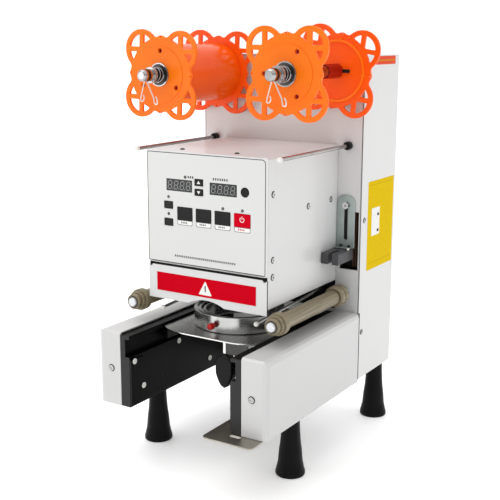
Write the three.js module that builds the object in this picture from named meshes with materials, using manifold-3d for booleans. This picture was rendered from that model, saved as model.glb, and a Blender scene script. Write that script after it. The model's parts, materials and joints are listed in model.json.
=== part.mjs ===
// Bench-top cup sealing machine: a tall rear column, a sealing head with a keypad, two arms that carry
// a sliding cup tray, two film reels, film guides and four tall feet. Millimetres, +Z up, front = -Y.
// Inside this file Y = 0 is the column's front face; the last group moves the origin to the middle of
// the footprint, on the surface that the feet stand on.
import * as THREE from "three";
import { mergeVertices } from "three/addons/utils/BufferGeometryUtils.js";
import Module from "manifold-3d";

const wasm = await Module();
wasm.setup();

// ---------------------------------------------------------------- driving dimensions
const gap = 0.3;
const sheet = 2;
const lapGap = 0.4;
const armBack = -0.5;

const column = { halfWidth: 130, depth: 110, bottom: 86.5, top: 541 };
const arm = { inner: 79, split: 94.3, outer: 131, front: -251, bottom: 84.5, top: 186, bevel: 7 };
const slideway = { depth: 7, bottom: 154, top: 178 };
const frameTop = 183;
const louvre = { x: 45, halfWidth: 26, z: 380, rows: 6, pitch: 12, height: 5 };
const gearbox = { half: 32, corner: 6, front: 8.2, back: 48 };
const pressMotorCase = { radius: 27, back: 104 };
const filmMotorCase = { gearRadius: 16.5, gearBack: 40, radius: 14, back: 72 };
const supplyCan = { x0: -40, x1: 100, front: 18, back: 84, height: 44, bayX: 82, bayFloor: 12 };
const head = { halfWidth: 92.8, front: -188.3, bottom: 229.5, top: 421 };
const foot = { topRadius: 12, bottomRadius: 20.3, height: arm.bottom, x: 109, frontY: -153 };
const rearFoot = { x: 112.5, y: 96.5 };

const hinge = { y: head.front + 1.8, z: 268.7, rodRadius: 0.9, holeRadius: 1.3, knuckleRadius: 2.1 };
const lug = { x0: 87.4, x1: 90.2, room: 0.5 };
const guard = { halfWidth: 92.5, bottom: 222, top: 266.6, notchHalf: 28, notchHeight: 7, lugNotch: 3.6 };
const panelBottom = 271.8;

const key = { proud: 0.8, depth: 4.9, side: 0.4, lip: 1.2, lipDepth: 1.8 };
const keypad = [
  { name: "temp_up_key", x: -9.7, z: 383.2, w: 13, h: 8.5 },
  { name: "temp_down_key", x: -9.7, z: 370.5, w: 13, h: 8.5 },
  { name: "heat_key", x: -58.1, z: 350.2, w: 13.8, h: 9.5 },
  { name: "motor_key", x: -58.1, z: 327.5, w: 13.8, h: 9.5 },
  { name: "count_key", x: -32.1, z: 340.5, w: 23.8, h: 17 },
  { name: "start_key", x: -2.8, z: 340.5, w: 23.7, h: 17 },
  { name: "stop_key", x: 26.4, z: 340.5, w: 23.6, h: 17 },
  { name: "power_key", x: 56, z: 340.5, w: 24, h: 17 },
];
const resetButton = { name: "counter_reset_button", x: 59.8, z: 376.4, radius: 6 };
const displays = [
  { x: -40.6, z: 377.1, w: 40.8, h: 15.8 },
  { x: 27.5, z: 377, w: 41, h: 15.8 },
];
const board = { y: -177.4, thickness: 1.6, x0: -70, x1: 75, z0: 315.5, z1: 396 };
const boardPart = {
  moduleSet: 0.4, switchHalf: 3, switchSet: 5.2, postRadius: 2, postInsetX: 3, postInsetZ: 2.5,
};

const cup = { y: -107.5, ringRadius: 62, boreRadius: 46, ringTop: 203.5 };
const tray = {
  halfWidth: 77.2, front: -193, back: -15, top: 180, thickness: 1.6, cornerRadius: 58, flatHalf: 37,
};
const trayFlange = { front: -172, bottom: 160 };
const runner = { front: -170, bottom: 161, top: 170, play: 1 };
const apron = { x0: 28.4, x1: 66, bottom: 162.4, inset: 2.2, thickness: 1.6, foldDepth: 9.8 };
const ringSeat = { lip: 4.5, land: 9.5, seat: 3.2, landDrop: 2, grooveDrop: 5.5, seatDrop: 3.5 };
const handle = { x: 32.5, top: 162, bottom: 117, halfWidth: 15.5, y: -197, thickness: 14 };

const press = { travel: 18, heaterBottom: 222.5, heaterTop: 238, plateBottom: 241, plateTop: 247 };
const heaterRadius = 48;
const cutter = { inner: 49.5, outer: 51.5, bottom: 222.2 };
const post = { x: 66, radius: 5, bottom: 222 };
const cam = {
  minRadius: 16, thickness: 8, followerRadius: 4, followerGap: 0.6, shaftRadius: 6, hubRadius: 10,
};
const camHub = { front: 4, back: 6 };
const springWall = { inner: 5.9, outer: 8 };
const base = { halfWidth: 88, front: -170, back: -0.4, bottom: 308, thickness: 4, flangeBottom: 252 };
const plate = { halfX: 78, halfY: 56, corner: 8, leg: 26, legRadius: 5, followerRise: 4, followerHalf: 6 };
const camClearance = cam.followerRadius + cam.followerGap + cam.minRadius;
const camAxisZ = press.plateTop + plate.followerRise + camClearance;

const reel = {
  radius: 26.5, lobe: 31.5, disc: 49, rim: 6, spoke: 6, thickness: 4, frontY: -152, rearY: -12.5,
  hubHole: 8.4, hubRadius: 10, plateRadius: 37, bump: 4, ridgeInner: 38, ridgeOuter: 41,
};
const supply = { x: -96.5, z: 515.5, turn: 2, rearTurn: 2, hub: 0 };
const takeup = { x: 95.5, z: 520.5, turn: 0, rearTurn: 8, hub: 37 };
const reelShaft = {
  radius: 8, front: -192.5, back: 7.6, washer: 15.5, washerThickness: 1.7, nut: 10.5,
  nutFront: 18.5, nutBack: 20.2, stopLength: 7, clip: 9.5,
};
const reelSpring = { inner: 8.5, outer: 10.4 };
const core = { outer: 39.5, inner: 36.5 };

const roller = { x: 108.6, z: 214.6, front: -207, rear: -17, tube: 10.5, collar: 14.6, axle: 6.2 };
const upperRod = { x: 109, z: 420.3, radius: 2.7, front: -190 };
const lowerRod = { x: 74, z: 216.9, radius: 2, front: -186, fall: THREE.MathUtils.degToRad(2.86) };

const sensorPlate = {
  x0: 93.4, x1: 121, z0: 278.5, z1: 352, slotX: 107.4, slotZ0: 289.5, slotZ1: 340.7, crown: 11,
};
const clamp = { drop: 3, stemRadius: 1.9, nutRadius: 5, nutFront: -5.6, nutBack: -2.8 };
const sensor = { x0: 94, x1: 120, front: -48, back: -3, z0: 262.8, z1: 278, slot: 6, slotDepth: 26 };
const cutout = { x0: 98, x1: 126, z0: 247, z1: 329 };

const lowerPlate = { x0: 52, x1: 125, front: -277, back: -120, top: 84.2, corner: 7 };
const oblongHole = { x0: 80.5, x1: 96, y0: -258, y1: -252, radius: 2.9 };

const inlet = { x: -85, z: 130, w: 48, h: 28, face: 112, corner: 5, flange: 1.7 };
const inletBody = { halfX: 18.5, halfZ: 11, depth: 26, mouthX: 13, mouthZ: 8.5, mouthDepth: 17 };
const inletPin = { halfX: 1, halfZ: 2, back: 18, front: 4, places: [[-7, -3], [0, 3.5], [7, -3]] };
const rocker = { x: -85, z: 178, w: 17, half: 11, pivotY: 107.2, tilt: THREE.MathUtils.degToRad(8) };
const rockerOpening = { halfX: 9.5, halfZ: 13.5 };

const yFront = lowerPlate.front;
const yBack = rearFoot.y + foot.bottomRadius;

// ---------------------------------------------------------------- materials
function finish(color, roughness, metalness) {
  return () => new THREE.MeshStandardMaterial({ color, roughness, metalness });
}
const whitePaint = finish(0xe6e6e4, 0.42, 0.1);
const blackPaint = finish(0x1b1b1c, 0.45, 0.2);
const stainless = finish(0xb9b9b6, 0.28, 1);
const zinc = finish(0x9aa5a8, 0.4, 0.9);
const polished = finish(0xcfcfcf, 0.18, 1);
const orange = finish(0xff6a10, 0.4, 0);
const blackPlastic = finish(0x141414, 0.5, 0);
const redPlastic = finish(0xc8101c, 0.4, 0);
const beige = finish(0x9a8f78, 0.55, 0);
const aluminium = finish(0xa8abad, 0.4, 0.9);
const blackSteel = finish(0x3a332c, 0.4, 0.7);
const circuit = finish(0x1d5a32, 0.6, 0);
const darkRubber = finish(0x121212, 0.75, 0);

// ---------------------------------------------------------------- solids
function toSolid(geometry) {
  const bare = geometry.clone();
  bare.deleteAttribute("normal");
  bare.deleteAttribute("uv");
  const merged = mergeVertices(bare, 1e-4);
  const mesh = new wasm.Mesh({
    numProp: 3,
    vertProperties: new Float32Array(merged.attributes.position.array),
    triVerts: new Uint32Array(merged.index.array),
  });
  return new wasm.Manifold(mesh);
}

function toGeometry(solid) {
  const mesh = solid.getMesh();
  const geometry = new THREE.BufferGeometry();
  geometry.setAttribute("position", new THREE.BufferAttribute(mesh.vertProperties, 3));
  geometry.setIndex(new THREE.BufferAttribute(mesh.triVerts, 1));
  geometry.computeVertexNormals();
  return geometry;
}

function join(solids) {
  return solids.reduce((whole, solid) => whole.add(solid));
}

// A box between two corners.
function block(x0, x1, y0, y1, z0, z1) {
  const geometry = new THREE.BoxGeometry(x1 - x0, y1 - y0, z1 - z0);
  geometry.translate((x0 + x1) / 2, (y0 + y1) / 2, (z0 + z1) / 2);
  return toSolid(geometry);
}

function shapeOf(points) {
  return new THREE.Shape(points.map(([u, v]) => new THREE.Vector2(u, v)));
}

function extrude(shape, depth, curveSegments) {
  return new THREE.ExtrudeGeometry(shape, { depth, bevelEnabled: false, curveSegments });
}

// An outline in X and Y, raised from z0 to z1.
function slabZ(shape, z0, z1, segments = 6) {
  const geometry = extrude(shape, z1 - z0, segments);
  geometry.translate(0, 0, z0);
  return toSolid(geometry);
}

// An outline in X and Z, between y0 and y1.
function slabY(shape, y0, y1, segments = 6) {
  const geometry = extrude(shape, y1 - y0, segments);
  geometry.rotateX(Math.PI / 2);
  geometry.translate(0, y1, 0);
  return toSolid(geometry);
}

// An outline in Y and Z, between x0 and x1.
function slabX(shape, x0, x1, segments = 6) {
  const geometry = extrude(shape, x1 - x0, segments);
  geometry.rotateY(Math.PI / 2);
  geometry.rotateX(Math.PI / 2);
  geometry.translate(x0, 0, 0);
  return toSolid(geometry);
}

function roundedRect(x0, x1, z0, z1, r) {
  const shape = new THREE.Shape();
  shape.moveTo(x0 + r, z0);
  shape.lineTo(x1 - r, z0);
  shape.absarc(x1 - r, z0 + r, r, -Math.PI / 2, 0);
  shape.lineTo(x1, z1 - r);
  shape.absarc(x1 - r, z1 - r, r, 0, Math.PI / 2);
  shape.lineTo(x0 + r, z1);
  shape.absarc(x0 + r, z1 - r, r, Math.PI / 2, Math.PI);
  shape.lineTo(x0, z0 + r);
  shape.absarc(x0 + r, z0 + r, r, Math.PI, 1.5 * Math.PI);
  return shape;
}

// Cylinders along each axis, given by their centre line.
function rodY(x, z, radius, y0, y1, segments = 12) {
  const geometry = new THREE.CylinderGeometry(radius, radius, y1 - y0, segments);
  geometry.translate(x, (y0 + y1) / 2, z);
  return toSolid(geometry);
}

function rodZ(x, y, radius, z0, z1, segments = 12) {
  const geometry = new THREE.CylinderGeometry(radius, radius, z1 - z0, segments);
  geometry.rotateX(Math.PI / 2);
  geometry.translate(x, y, (z0 + z1) / 2);
  return toSolid(geometry);
}

function rodX(y, z, radius, x0, x1, segments = 10) {
  const geometry = new THREE.CylinderGeometry(radius, radius, x1 - x0, segments);
  geometry.rotateZ(Math.PI / 2);
  geometry.translate((x0 + x1) / 2, y, z);
  return toSolid(geometry);
}

// A turned piece whose axis is Y (or Z): each profile point is [radius, distance along the axis].
function turnedY(profile, segments) {
  return new THREE.LatheGeometry(profile.map(([r, y]) => new THREE.Vector2(r, y)), segments);
}

function turnedZ(profile, segments) {
  const geometry = turnedY(profile, segments);
  geometry.rotateX(Math.PI / 2);
  return geometry;
}

// ---------------------------------------------------------------- assembly helpers
const machine = new THREE.Group();

function add(name, body, material, place = {}) {
  const geometry = body.isBufferGeometry ? body : toGeometry(body);
  const mesh = new THREE.Mesh(geometry, material());
  mesh.name = name;
  mesh.position.set(place.x ?? 0, place.y ?? 0, place.z ?? 0);
  mesh.rotation.set(place.rx ?? 0, place.ry ?? 0, 0);
  machine.add(mesh);
}

const sides = [
  { word: "left", s: -1 },
  { word: "right", s: 1 },
];

// ---------------------------------------------------------------- rear column
// One bent sheet: the front wall and the floor pan, with the head, reel, roller and rod holes.
function columnFront() {
  const w = column.halfWidth - sheet - lapGap;
  const wall = block(-w, w, 0, sheet, column.bottom, column.top - sheet - lapGap);
  const pan = block(-w, w, 0, column.depth - sheet - lapGap, column.bottom, column.bottom + sheet);
  let body = wall.add(pan);
  const holes = [
    rodY(supply.x, supply.z, reelShaft.radius + 0.8, -1, sheet + 1),
    rodY(takeup.x, takeup.z, reelShaft.radius + 0.8, -1, sheet + 1),
    rodY(0, camAxisZ, cam.shaftRadius + 2, -1, sheet + 1),
    block(cutout.x0, cutout.x1, -1, sheet + 1, cutout.z0, cutout.z1),
  ];
  for (const { s } of sides) {
    holes.push(rodY(s * roller.x, roller.z, roller.axle + 0.6, -1, sheet + 1));
    holes.push(rodY(s * upperRod.x, upperRod.z, upperRod.radius + gap, -1, sheet + 1, 12));
    holes.push(rodY(s * lowerRod.x, lowerRod.z, lowerRod.radius + gap, -1, sheet + 1, 12));
  }
  for (const hole of holes) {
    body = body.subtract(hole);
  }
  const { slotX, slotZ1 } = sensorPlate;
  const z = slotZ1 - clamp.drop;
  const stem = rodY(slotX, z, clamp.stemRadius, clamp.nutFront + lapGap, 1, 8);
  const nut = rodY(slotX, z, clamp.nutRadius, clamp.nutFront, clamp.nutBack, 6);
  return join([body, stem, nut]);
}

// Top, sides and back in one cover, open at the front and below, with louvres in its back.
function columnCover() {
  const { halfWidth: w, depth, bottom, top } = column;
  const shell = slabY(roundedRect(-w, w, bottom, top, 1.5), 0, depth, 2);
  const room = block(-w + sheet, w - sheet, -1, depth - sheet, bottom - 1, top - sheet);
  let body = shell.subtract(room);
  const inside = depth - sheet - 1;
  for (const x of [-louvre.x, louvre.x]) {
    for (let row = 0; row < louvre.rows; row += 1) {
      const z = louvre.z + row * louvre.pitch;
      const slit = block(x - louvre.halfWidth, x + louvre.halfWidth, inside, depth + 1, z, z + louvre.height);
      body = body.subtract(slit);
    }
  }
  const socketX = inletBody.halfX + 0.5;
  const socketZ = inletBody.halfZ + 0.5;
  const openings = [
    [inlet.x, inlet.z, socketX, socketZ],
    [rocker.x, rocker.z, rockerOpening.halfX, rockerOpening.halfZ],
  ];
  for (const [x, z, halfX, halfZ] of openings) {
    body = body.subtract(block(x - halfX, x + halfX, inside, depth + 1, z - halfZ, z + halfZ));
  }
  return body;
}

function powerInlet() {
  const { x, z, w, h, face, corner } = inlet;
  const { halfX, halfZ, depth, mouthX, mouthZ, mouthDepth } = inletBody;
  const rim = roundedRect(x - w / 2, x + w / 2, z - h / 2, z + h / 2, corner);
  const flange = slabY(rim, face - inlet.flange, face, 2);
  const shell = block(x - halfX, x + halfX, face - depth, face - 1, z - halfZ, z + halfZ);
  const mouth = block(x - mouthX, x + mouthX, face - mouthDepth, face + 1, z - mouthZ, z + mouthZ);
  let body = flange.add(shell).subtract(mouth);
  for (const [pinX, pinZ] of inletPin.places) {
    const px = x + pinX;
    const pz = z + pinZ;
    const [a, b] = [inletPin.halfX, inletPin.halfZ];
    body = body.add(block(px - a, px + a, face - inletPin.back, face - inletPin.front, pz - b, pz + b));
  }
  return body;
}

// The rocker's face is a shallow V; it stands tipped to one side, in its off position.
function rockerSolid() {
  const lift = rocker.half * Math.tan(rocker.tilt);
  const outline = shapeOf([
    [-5, -6], [1.4 + lift, -rocker.half], [1.4, 0], [1.4 + lift, rocker.half], [-5, 6],
  ]);
  return slabX(outline, -rocker.w / 2, rocker.w / 2);
}

function pressMotor() {
  const { half, corner, front, back } = gearbox;
  const box = slabY(roundedRect(-half, half, camAxisZ - half, camAxisZ + half, corner), front, back, 2);
  return box.add(rodY(0, camAxisZ, pressMotorCase.radius, back - 1, pressMotorCase.back, 20));
}

function filmMotor() {
  const { gearRadius, gearBack, radius, back } = filmMotorCase;
  const z = takeup.z - 1;
  const gears = rodY(takeup.x, z, gearRadius, gearbox.front, gearBack, 16);
  return gears.add(rodY(takeup.x, z, radius, gearBack - 1, back, 16));
}

function powerSupply() {
  const floor = column.bottom + sheet + gap;
  const { x0, x1, front, back, height, bayX, bayFloor } = supplyCan;
  const can = block(x0, x1, front, back, floor, floor + height);
  return can.subtract(block(bayX, x1 + 1, front - 1, back + 1, floor + bayFloor, floor + height + 1));
}

add("column_front_panel", columnFront(), whitePaint);
add("column_cover", columnCover(), whitePaint);
add("power_inlet", powerInlet(), blackPlastic);
add("power_rocker", rockerSolid(), blackPlastic, {
  x: rocker.x, y: rocker.pivotY, z: rocker.z, rx: -rocker.tilt,
});
add("press_motor", pressMotor(), blackSteel);
add("film_motor", filmMotor(), aluminium);
add("power_supply", powerSupply(), aluminium);

// ---------------------------------------------------------------- arms
// Sheet frame: a web with the tray's slideway pressed into it, a top band, a foot flange and a front plate.
function armFrame(s) {
  const { inner, split, front, bottom } = arm;
  const deep = inner + slideway.depth;
  const low = bottom + gap;
  const outerX = arm.outer - sheet - 3;
  const web = shapeOf([
    [split - gap, frameTop], [inner, frameTop], [inner, slideway.top], [deep, slideway.top],
    [deep, slideway.bottom], [inner, slideway.bottom], [inner, low], [outerX, low],
    [outerX, low + sheet], [inner + sheet, low + sheet], [inner + sheet, slideway.bottom - sheet],
    [deep + sheet, slideway.bottom - sheet], [deep + sheet, slideway.top + sheet],
    [split - gap, slideway.top + sheet],
  ].map(([x, z]) => [s * x, z]));
  const spanX = (x0, x1) => (s > 0 ? [x0, x1] : [-x1, -x0]);
  const frontPlate = block(...spanX(inner, split - gap), front, front + sheet, low, frameTop);
  const mouth = block(...spanX(inner - 1, deep), front - 1, front + sheet + 1, slideway.bottom, slideway.top);
  const relief = block(...spanX(split - gap, outerX + 1), front - 1, front + 2 * sheet, low - 1, low + 3);
  const padShape = shapeOf([
    [front + 1, low + 3], [front + 1, 150], [-224, 150], [-215, 145], [-183, 115], [-178, low + 3],
  ]);
  const pad = slabX(padShape, ...spanX(inner - 1.5, inner + 0.5));
  const body = slabY(web, front, armBack).add(frontPlate).subtract(mouth).subtract(relief);
  return body.add(pad);
}

// Painted cladding: closed at the front, top and outer side, with its outer edges bevelled.
function armCladding(s) {
  const { split, outer, front, bottom, top, bevel } = arm;
  const hull = (inset, open) => {
    const x0 = split - open;
    const x1 = outer - inset;
    const y0 = front + inset;
    const y1 = armBack + open;
    const z0 = bottom - open;
    const z1 = top - inset;
    const across = [[x0, z0], [x1, z0], [x1, z1 - bevel], [x1 - 2, z1 - 2], [x1 - bevel, z1], [x0, z1]];
    const plan = [[x0, y0], [x1 - bevel, y0], [x1 - 2, y0 + 2], [x1, y0 + bevel], [x1, y1], [x0, y1]];
    const along = [[y0, z0], [y1, z0], [y1, z1], [y0 + 3, z1], [y0, z1 - 3]];
    const section = slabY(shapeOf(across.map(([x, z]) => [s * x, z])), y0, y1);
    const outline = slabZ(shapeOf(plan.map(([x, y]) => [s * x, y])), z0, z1);
    const profile = slabX(shapeOf(along), s > 0 ? x0 : -x1, s > 0 ? x1 : -x0);
    return section.intersect(outline).intersect(profile);
  };
  return hull(0, 0).subtract(hull(sheet, 1));
}

for (const { word, s } of sides) {
  add(`${word}_arm_frame`, armFrame(s), blackPaint);
  add(`${word}_arm_cladding`, armCladding(s), whitePaint);
}

// Flat steel plate under the right arm, with one oblong hole in front.
function armLowerPlate() {
  const { x0, x1, front, back, top, corner } = lowerPlate;
  const strip = slabZ(roundedRect(x0, x1, front, back, corner), top - sheet, top, 3);
  const foothole = rodZ(foot.x, foot.frontY, foot.topRadius + 3, top - 5, top + 5, 20);
  const slot = roundedRect(oblongHole.x0, oblongHole.x1, oblongHole.y0, oblongHole.y1, oblongHole.radius);
  return strip.subtract(foothole).subtract(slabZ(slot, top - 5, top + 5, 3));
}
add("arm_lower_plate", armLowerPlate(), blackSteel);

// ---------------------------------------------------------------- feet
function footSolid(height) {
  const { topRadius: a, bottomRadius: b } = foot;
  return turnedZ([
    [0, 0], [b - 1.5, 0], [b, 2], [b, 5], [b - 1.2, 9], [a + 3.5, 34], [a + 1, 58], [a, height - 1],
    [a - 1, height], [0, height],
  ], 14);
}
for (const { word, s } of sides) {
  add(`front_${word}_foot`, footSolid(foot.height), darkRubber, { x: s * foot.x, y: foot.frontY });
  const rear = footSolid(column.bottom - gap);
  add(`rear_${word}_foot`, rear, darkRubber, { x: s * rearFoot.x, y: rearFoot.y });
}

// ---------------------------------------------------------------- sealing head
function headHousing() {
  const { halfWidth: w, front, bottom, top } = head;
  const y0 = front + sheet + gap;
  const skin = slabY(roundedRect(-w, w, bottom - 10, top, 3), y0, armBack, 3);
  const room = slabY(roundedRect(-w + sheet, w - sheet, bottom - 20, top - sheet, 1.5), y0 - 1, 1, 2);
  const below = block(-w - 1, w + 1, y0 - 1, 1, bottom - 20, bottom);
  return skin.subtract(room).subtract(below);
}

function headPanel() {
  const { halfWidth: w, front, top } = head;
  const back = front + sheet;
  let body = slabY(roundedRect(-w, w, panelBottom, top, 2), front, back, 2);
  const windows = [...keypad, ...displays];
  for (const { x, z, w: width, h: height } of windows) {
    const a = width / 2 + key.side;
    const b = height / 2 + key.side;
    body = body.subtract(block(x - a, x + a, front - 1, back + 1, z - b, z + b));
  }
  const { x: buttonX, z: buttonZ, radius } = resetButton;
  body = body.subtract(rodY(buttonX, buttonZ, radius + key.side, front - 1, back + 1, 20));
  for (const { s } of sides) {
    const [x0, x1] = s > 0 ? [lug.x0, lug.x1] : [-lug.x1, -lug.x0];
    body = body.add(block(x0, x1, front, hinge.y + 2, hinge.z - 2, panelBottom + 1));
  }
  return body.subtract(rodX(hinge.y, hinge.z, hinge.holeRadius, -w - 1, w + 1));
}

// The cover over the sealing area: an arched lower edge and two curled knuckles round its hinge rod.
function guardCover() {
  const { halfWidth: w, bottom, top, notchHalf, notchHeight } = guard;
  const arch = (notchHalf ** 2 + notchHeight ** 2) / (2 * notchHeight);
  const angle = Math.asin(notchHalf / arch);
  const centreZ = bottom + notchHeight - arch;
  const outline = new THREE.Shape();
  outline.moveTo(-w, bottom);
  outline.lineTo(-notchHalf, bottom);
  outline.absarc(0, centreZ, arch, Math.PI / 2 + angle, Math.PI / 2 - angle, true);
  outline.lineTo(w, bottom);
  outline.lineTo(w, top);
  outline.lineTo(-w, top);
  let body = slabY(outline, head.front, head.front + sheet, 10);
  for (const { s } of sides) {
    const x0 = s > 0 ? 78.5 : -86.5;
    body = body.add(block(x0, x0 + 8, head.front, head.front + sheet, top - 1, hinge.z));
    body = body.add(rodX(hinge.y, hinge.z, hinge.knuckleRadius, x0, x0 + 8));
    const middle = (s * (lug.x0 + lug.x1)) / 2;
    const half = (lug.x1 - lug.x0) / 2 + lug.room;
    const under = hinge.z - guard.lugNotch;
    body = body.subtract(block(middle - half, middle + half, head.front - 1, head.front + 3, under, top + 1));
  }
  return body.subtract(rodX(hinge.y, hinge.z, hinge.holeRadius, -w - 1, w + 1));
}

function keyCap(w, h) {
  const cap = block(-w / 2, w / 2, 0, key.depth, -h / 2, h / 2);
  const a = w / 2 + key.lip;
  const b = h / 2 + key.lip;
  return cap.add(block(-a, a, key.depth - key.lipDepth, key.depth, -b, b));
}

function roundCap(radius) {
  const { depth, lip, lipDepth } = key;
  return turnedY([
    [0, 0], [radius - 1, 0], [radius, 0.6], [radius, depth - lipDepth], [radius + lip, depth - lipDepth],
    [radius + lip, depth], [0, depth],
  ], 12);
}

// Circuit board with the two digit modules and one switch behind each key.
function controlBoard() {
  const { y, thickness, x0, x1, z0, z1 } = board;
  const seat = y - thickness + 0.5;
  const pieces = [block(x0, x1, y - thickness, y, z0, z1)];
  for (const { x, z, w, h } of displays) {
    pieces.push(block(x - w / 2, x + w / 2, head.front + boardPart.moduleSet, seat, z - h / 2, z + h / 2));
  }
  for (const { x, z } of [...keypad, resetButton]) {
    const half = boardPart.switchHalf;
    pieces.push(block(x - half, x + half, head.front + boardPart.switchSet, seat, z - half, z + half));
  }
  for (const x of [x0 + boardPart.postInsetX, x1 - boardPart.postInsetX]) {
    for (const z of [z0 + boardPart.postInsetZ, z1 - boardPart.postInsetZ]) {
      pieces.push(rodY(x, z, boardPart.postRadius, head.front + sheet + gap, seat, 8));
    }
  }
  return join(pieces);
}

add("head_housing", headHousing(), whitePaint);
add("head_front_panel", headPanel(), whitePaint);
add("guard_hinge_rod", rodX(hinge.y, hinge.z, hinge.rodRadius, -90.2, 90.2, 10), polished);
add("guard_cover", guardCover(), whitePaint);
add("control_board", controlBoard(), circuit);
for (const { name, x, z, w, h } of keypad) {
  const material = name === "power_key" ? redPlastic : blackPlastic;
  add(name, keyCap(w, h), material, { x, y: head.front - key.proud, z });
}
add(resetButton.name, roundCap(resetButton.radius), blackPlastic, {
  x: resetButton.x, y: head.front - key.proud, z: resetButton.z,
});

// ---------------------------------------------------------------- sealing press, inside the head
// Base plate, bolted to the column by its back flange, with the two guide posts riveted to it.
function headBase() {
  const { halfWidth: w, front, back, bottom, thickness, flangeBottom } = base;
  const top = bottom + thickness;
  const deck = block(-w, w, front, back, bottom, top);
  const flange = block(-w, w, back - sheet, back, flangeBottom, top);
  let body = deck.add(flange);
  for (const { s } of sides) {
    body = body.add(rodZ(s * post.x, cup.y, post.radius, post.bottom, bottom + 1));
  }
  return body.subtract(rodY(0, camAxisZ, cam.shaftRadius + 2, -5, 1));
}

// Moving plate: two guide holes, four legs down to the heater and the cam follower on top.
function pressPlate() {
  const { plateBottom, plateTop, heaterTop } = press;
  const { halfX, halfY, corner, leg, legRadius, followerRise, followerHalf: half } = plate;
  const outline = roundedRect(-halfX, halfX, cup.y - halfY, cup.y + halfY, corner);
  let body = slabZ(outline, plateBottom, plateTop, 2);
  for (const { s } of sides) {
    body = body.subtract(rodZ(s * post.x, cup.y, post.radius + 0.5, plateBottom - 1, plateTop + 1));
    for (const dy of [-leg, leg]) {
      body = body.add(rodZ(s * leg, cup.y + dy, legRadius, heaterTop + gap, plateBottom + 1, 10));
    }
  }
  const axle = plateTop + followerRise;
  const r = cam.followerRadius;
  const saddle = block(-r, r, cup.y - half, cup.y + half, plateTop - 1, axle);
  return body.add(saddle).add(rodY(0, axle, r, cup.y - half, cup.y + half, 12));
}

function heaterBlock() {
  const { heaterBottom, heaterTop } = press;
  const r = heaterRadius;
  return turnedZ([
    [0, heaterBottom], [r, heaterBottom], [r, heaterTop - 3], [r - 3, heaterTop], [0, heaterTop],
  ], 24);
}

function cutterRing() {
  const { inner, outer, bottom } = cutter;
  const top = press.plateBottom - gap;
  return turnedZ([
    [inner, bottom], [outer, bottom + 1.5], [outer, top], [inner, top], [inner, bottom],
  ], 28);
}

// Heart-shaped cam: its radius grows evenly over half a turn and falls evenly over the other half.
function cardioidCam() {
  const points = [];
  const steps = 36;
  for (let i = 0; i < steps; i += 1) {
    const turn = (i / steps) * 2;
    const rise = turn <= 1 ? turn : 2 - turn;
    const radius = cam.minRadius + press.travel * rise;
    const angle = -Math.PI / 2 + turn * Math.PI;
    points.push([radius * Math.cos(angle), radius * Math.sin(angle)]);
  }
  const half = cam.thickness / 2;
  const disc = slabY(shapeOf(points), cup.y - half, cup.y + half);
  const hub = rodY(0, 0, cam.hubRadius, cup.y - half - camHub.front, cup.y + half + camHub.back);
  return join([disc, hub, rodY(0, 0, cam.shaftRadius, cup.y, 8)]);
}

// Return spring, drawn as the sleeve that its coils fill.
function springSleeve(inner, outer, length) {
  return [[inner, 0], [outer, 0], [outer, length], [inner, length], [inner, 0]];
}

add("press_base", headBase(), aluminium);
add("press_plate", pressPlate(), aluminium);
add("heater_block", heaterBlock(), aluminium, { y: cup.y });
add("cutter_ring", cutterRing(), stainless, { y: cup.y });
add("press_cam", cardioidCam(), stainless, { z: camAxisZ });
for (const { word, s } of sides) {
  const length = base.bottom - press.plateTop - 2 * gap;
  const coil = turnedZ(springSleeve(springWall.inner, springWall.outer, length), 10);
  add(`${word}_return_spring`, coil, zinc, { x: s * post.x, y: cup.y, z: press.plateTop + gap });
}

// ---------------------------------------------------------------- cup tray
function trayPlate() {
  const { halfWidth: w, front, back, top, thickness, cornerRadius: r, flatHalf: flat } = tray;
  const low = top - thickness;
  const sweep = Math.asin((w - flat) / r);
  const outline = new THREE.Shape();
  outline.moveTo(-flat, front);
  outline.lineTo(flat, front);
  outline.absarc(flat, front + r, r, -Math.PI / 2, -Math.PI / 2 + sweep);
  outline.lineTo(w, back);
  outline.lineTo(-w, back);
  outline.absarc(-flat, front + r, r, -Math.PI / 2 - sweep, -Math.PI / 2);
  let body = slabZ(outline, low, top, 6);
  body = body.subtract(rodZ(0, cup.y, cup.boreRadius + 0.6, low - 1, top + 1, 40));
  const runnerIn = w - thickness;
  const runnerOut = arm.inner + slideway.depth - runner.play;
  for (const { s } of sides) {
    const spanX = (x0, x1) => (s > 0 ? [x0, x1] : [-x1, -x0]);
    body = body.add(block(...spanX(runnerIn, w), trayFlange.front, back, trayFlange.bottom, low + 1));
    body = body.add(block(...spanX(runnerIn, runnerOut), runner.front, back - 2, runner.bottom, runner.top));
  }
  const y = front + apron.inset;
  const t = apron.thickness;
  const skirt = block(apron.x0, apron.x1, y, y + t, apron.bottom, low + 0.5);
  const fold = block(apron.x0, apron.x0 + t, y, y + apron.foldDepth, apron.bottom, low + 0.5);
  return body.add(skirt).add(fold);
}

// Stepped ring: a tall outer wall, a land, the cutter's groove and the seat for the cup's rim.
function cupRing() {
  const low = tray.top + gap;
  const { ringRadius: r, boreRadius: bore, ringTop: top } = cup;
  const { lip, land, seat, landDrop, grooveDrop, seatDrop } = ringSeat;
  const profile = [
    [bore, low], [r - 0.8, low], [r, low + 0.8], [r, top - 0.8], [r - 0.8, top], [r - lip, top],
    [r - lip, top - landDrop], [r - land, top - landDrop], [r - land, top - grooveDrop],
    [bore + seat, top - grooveDrop], [bore + seat, top - seatDrop], [bore, top - seatDrop], [bore, low],
  ];
  return turnedZ(profile, 28);
}

function ringKnob() {
  return turnedY([
    [0, -12], [3.6, -12], [4.6, -11], [4.6, -4], [2.6, -3.4], [2.6, 0], [0, 0],
  ], 10);
}

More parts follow.
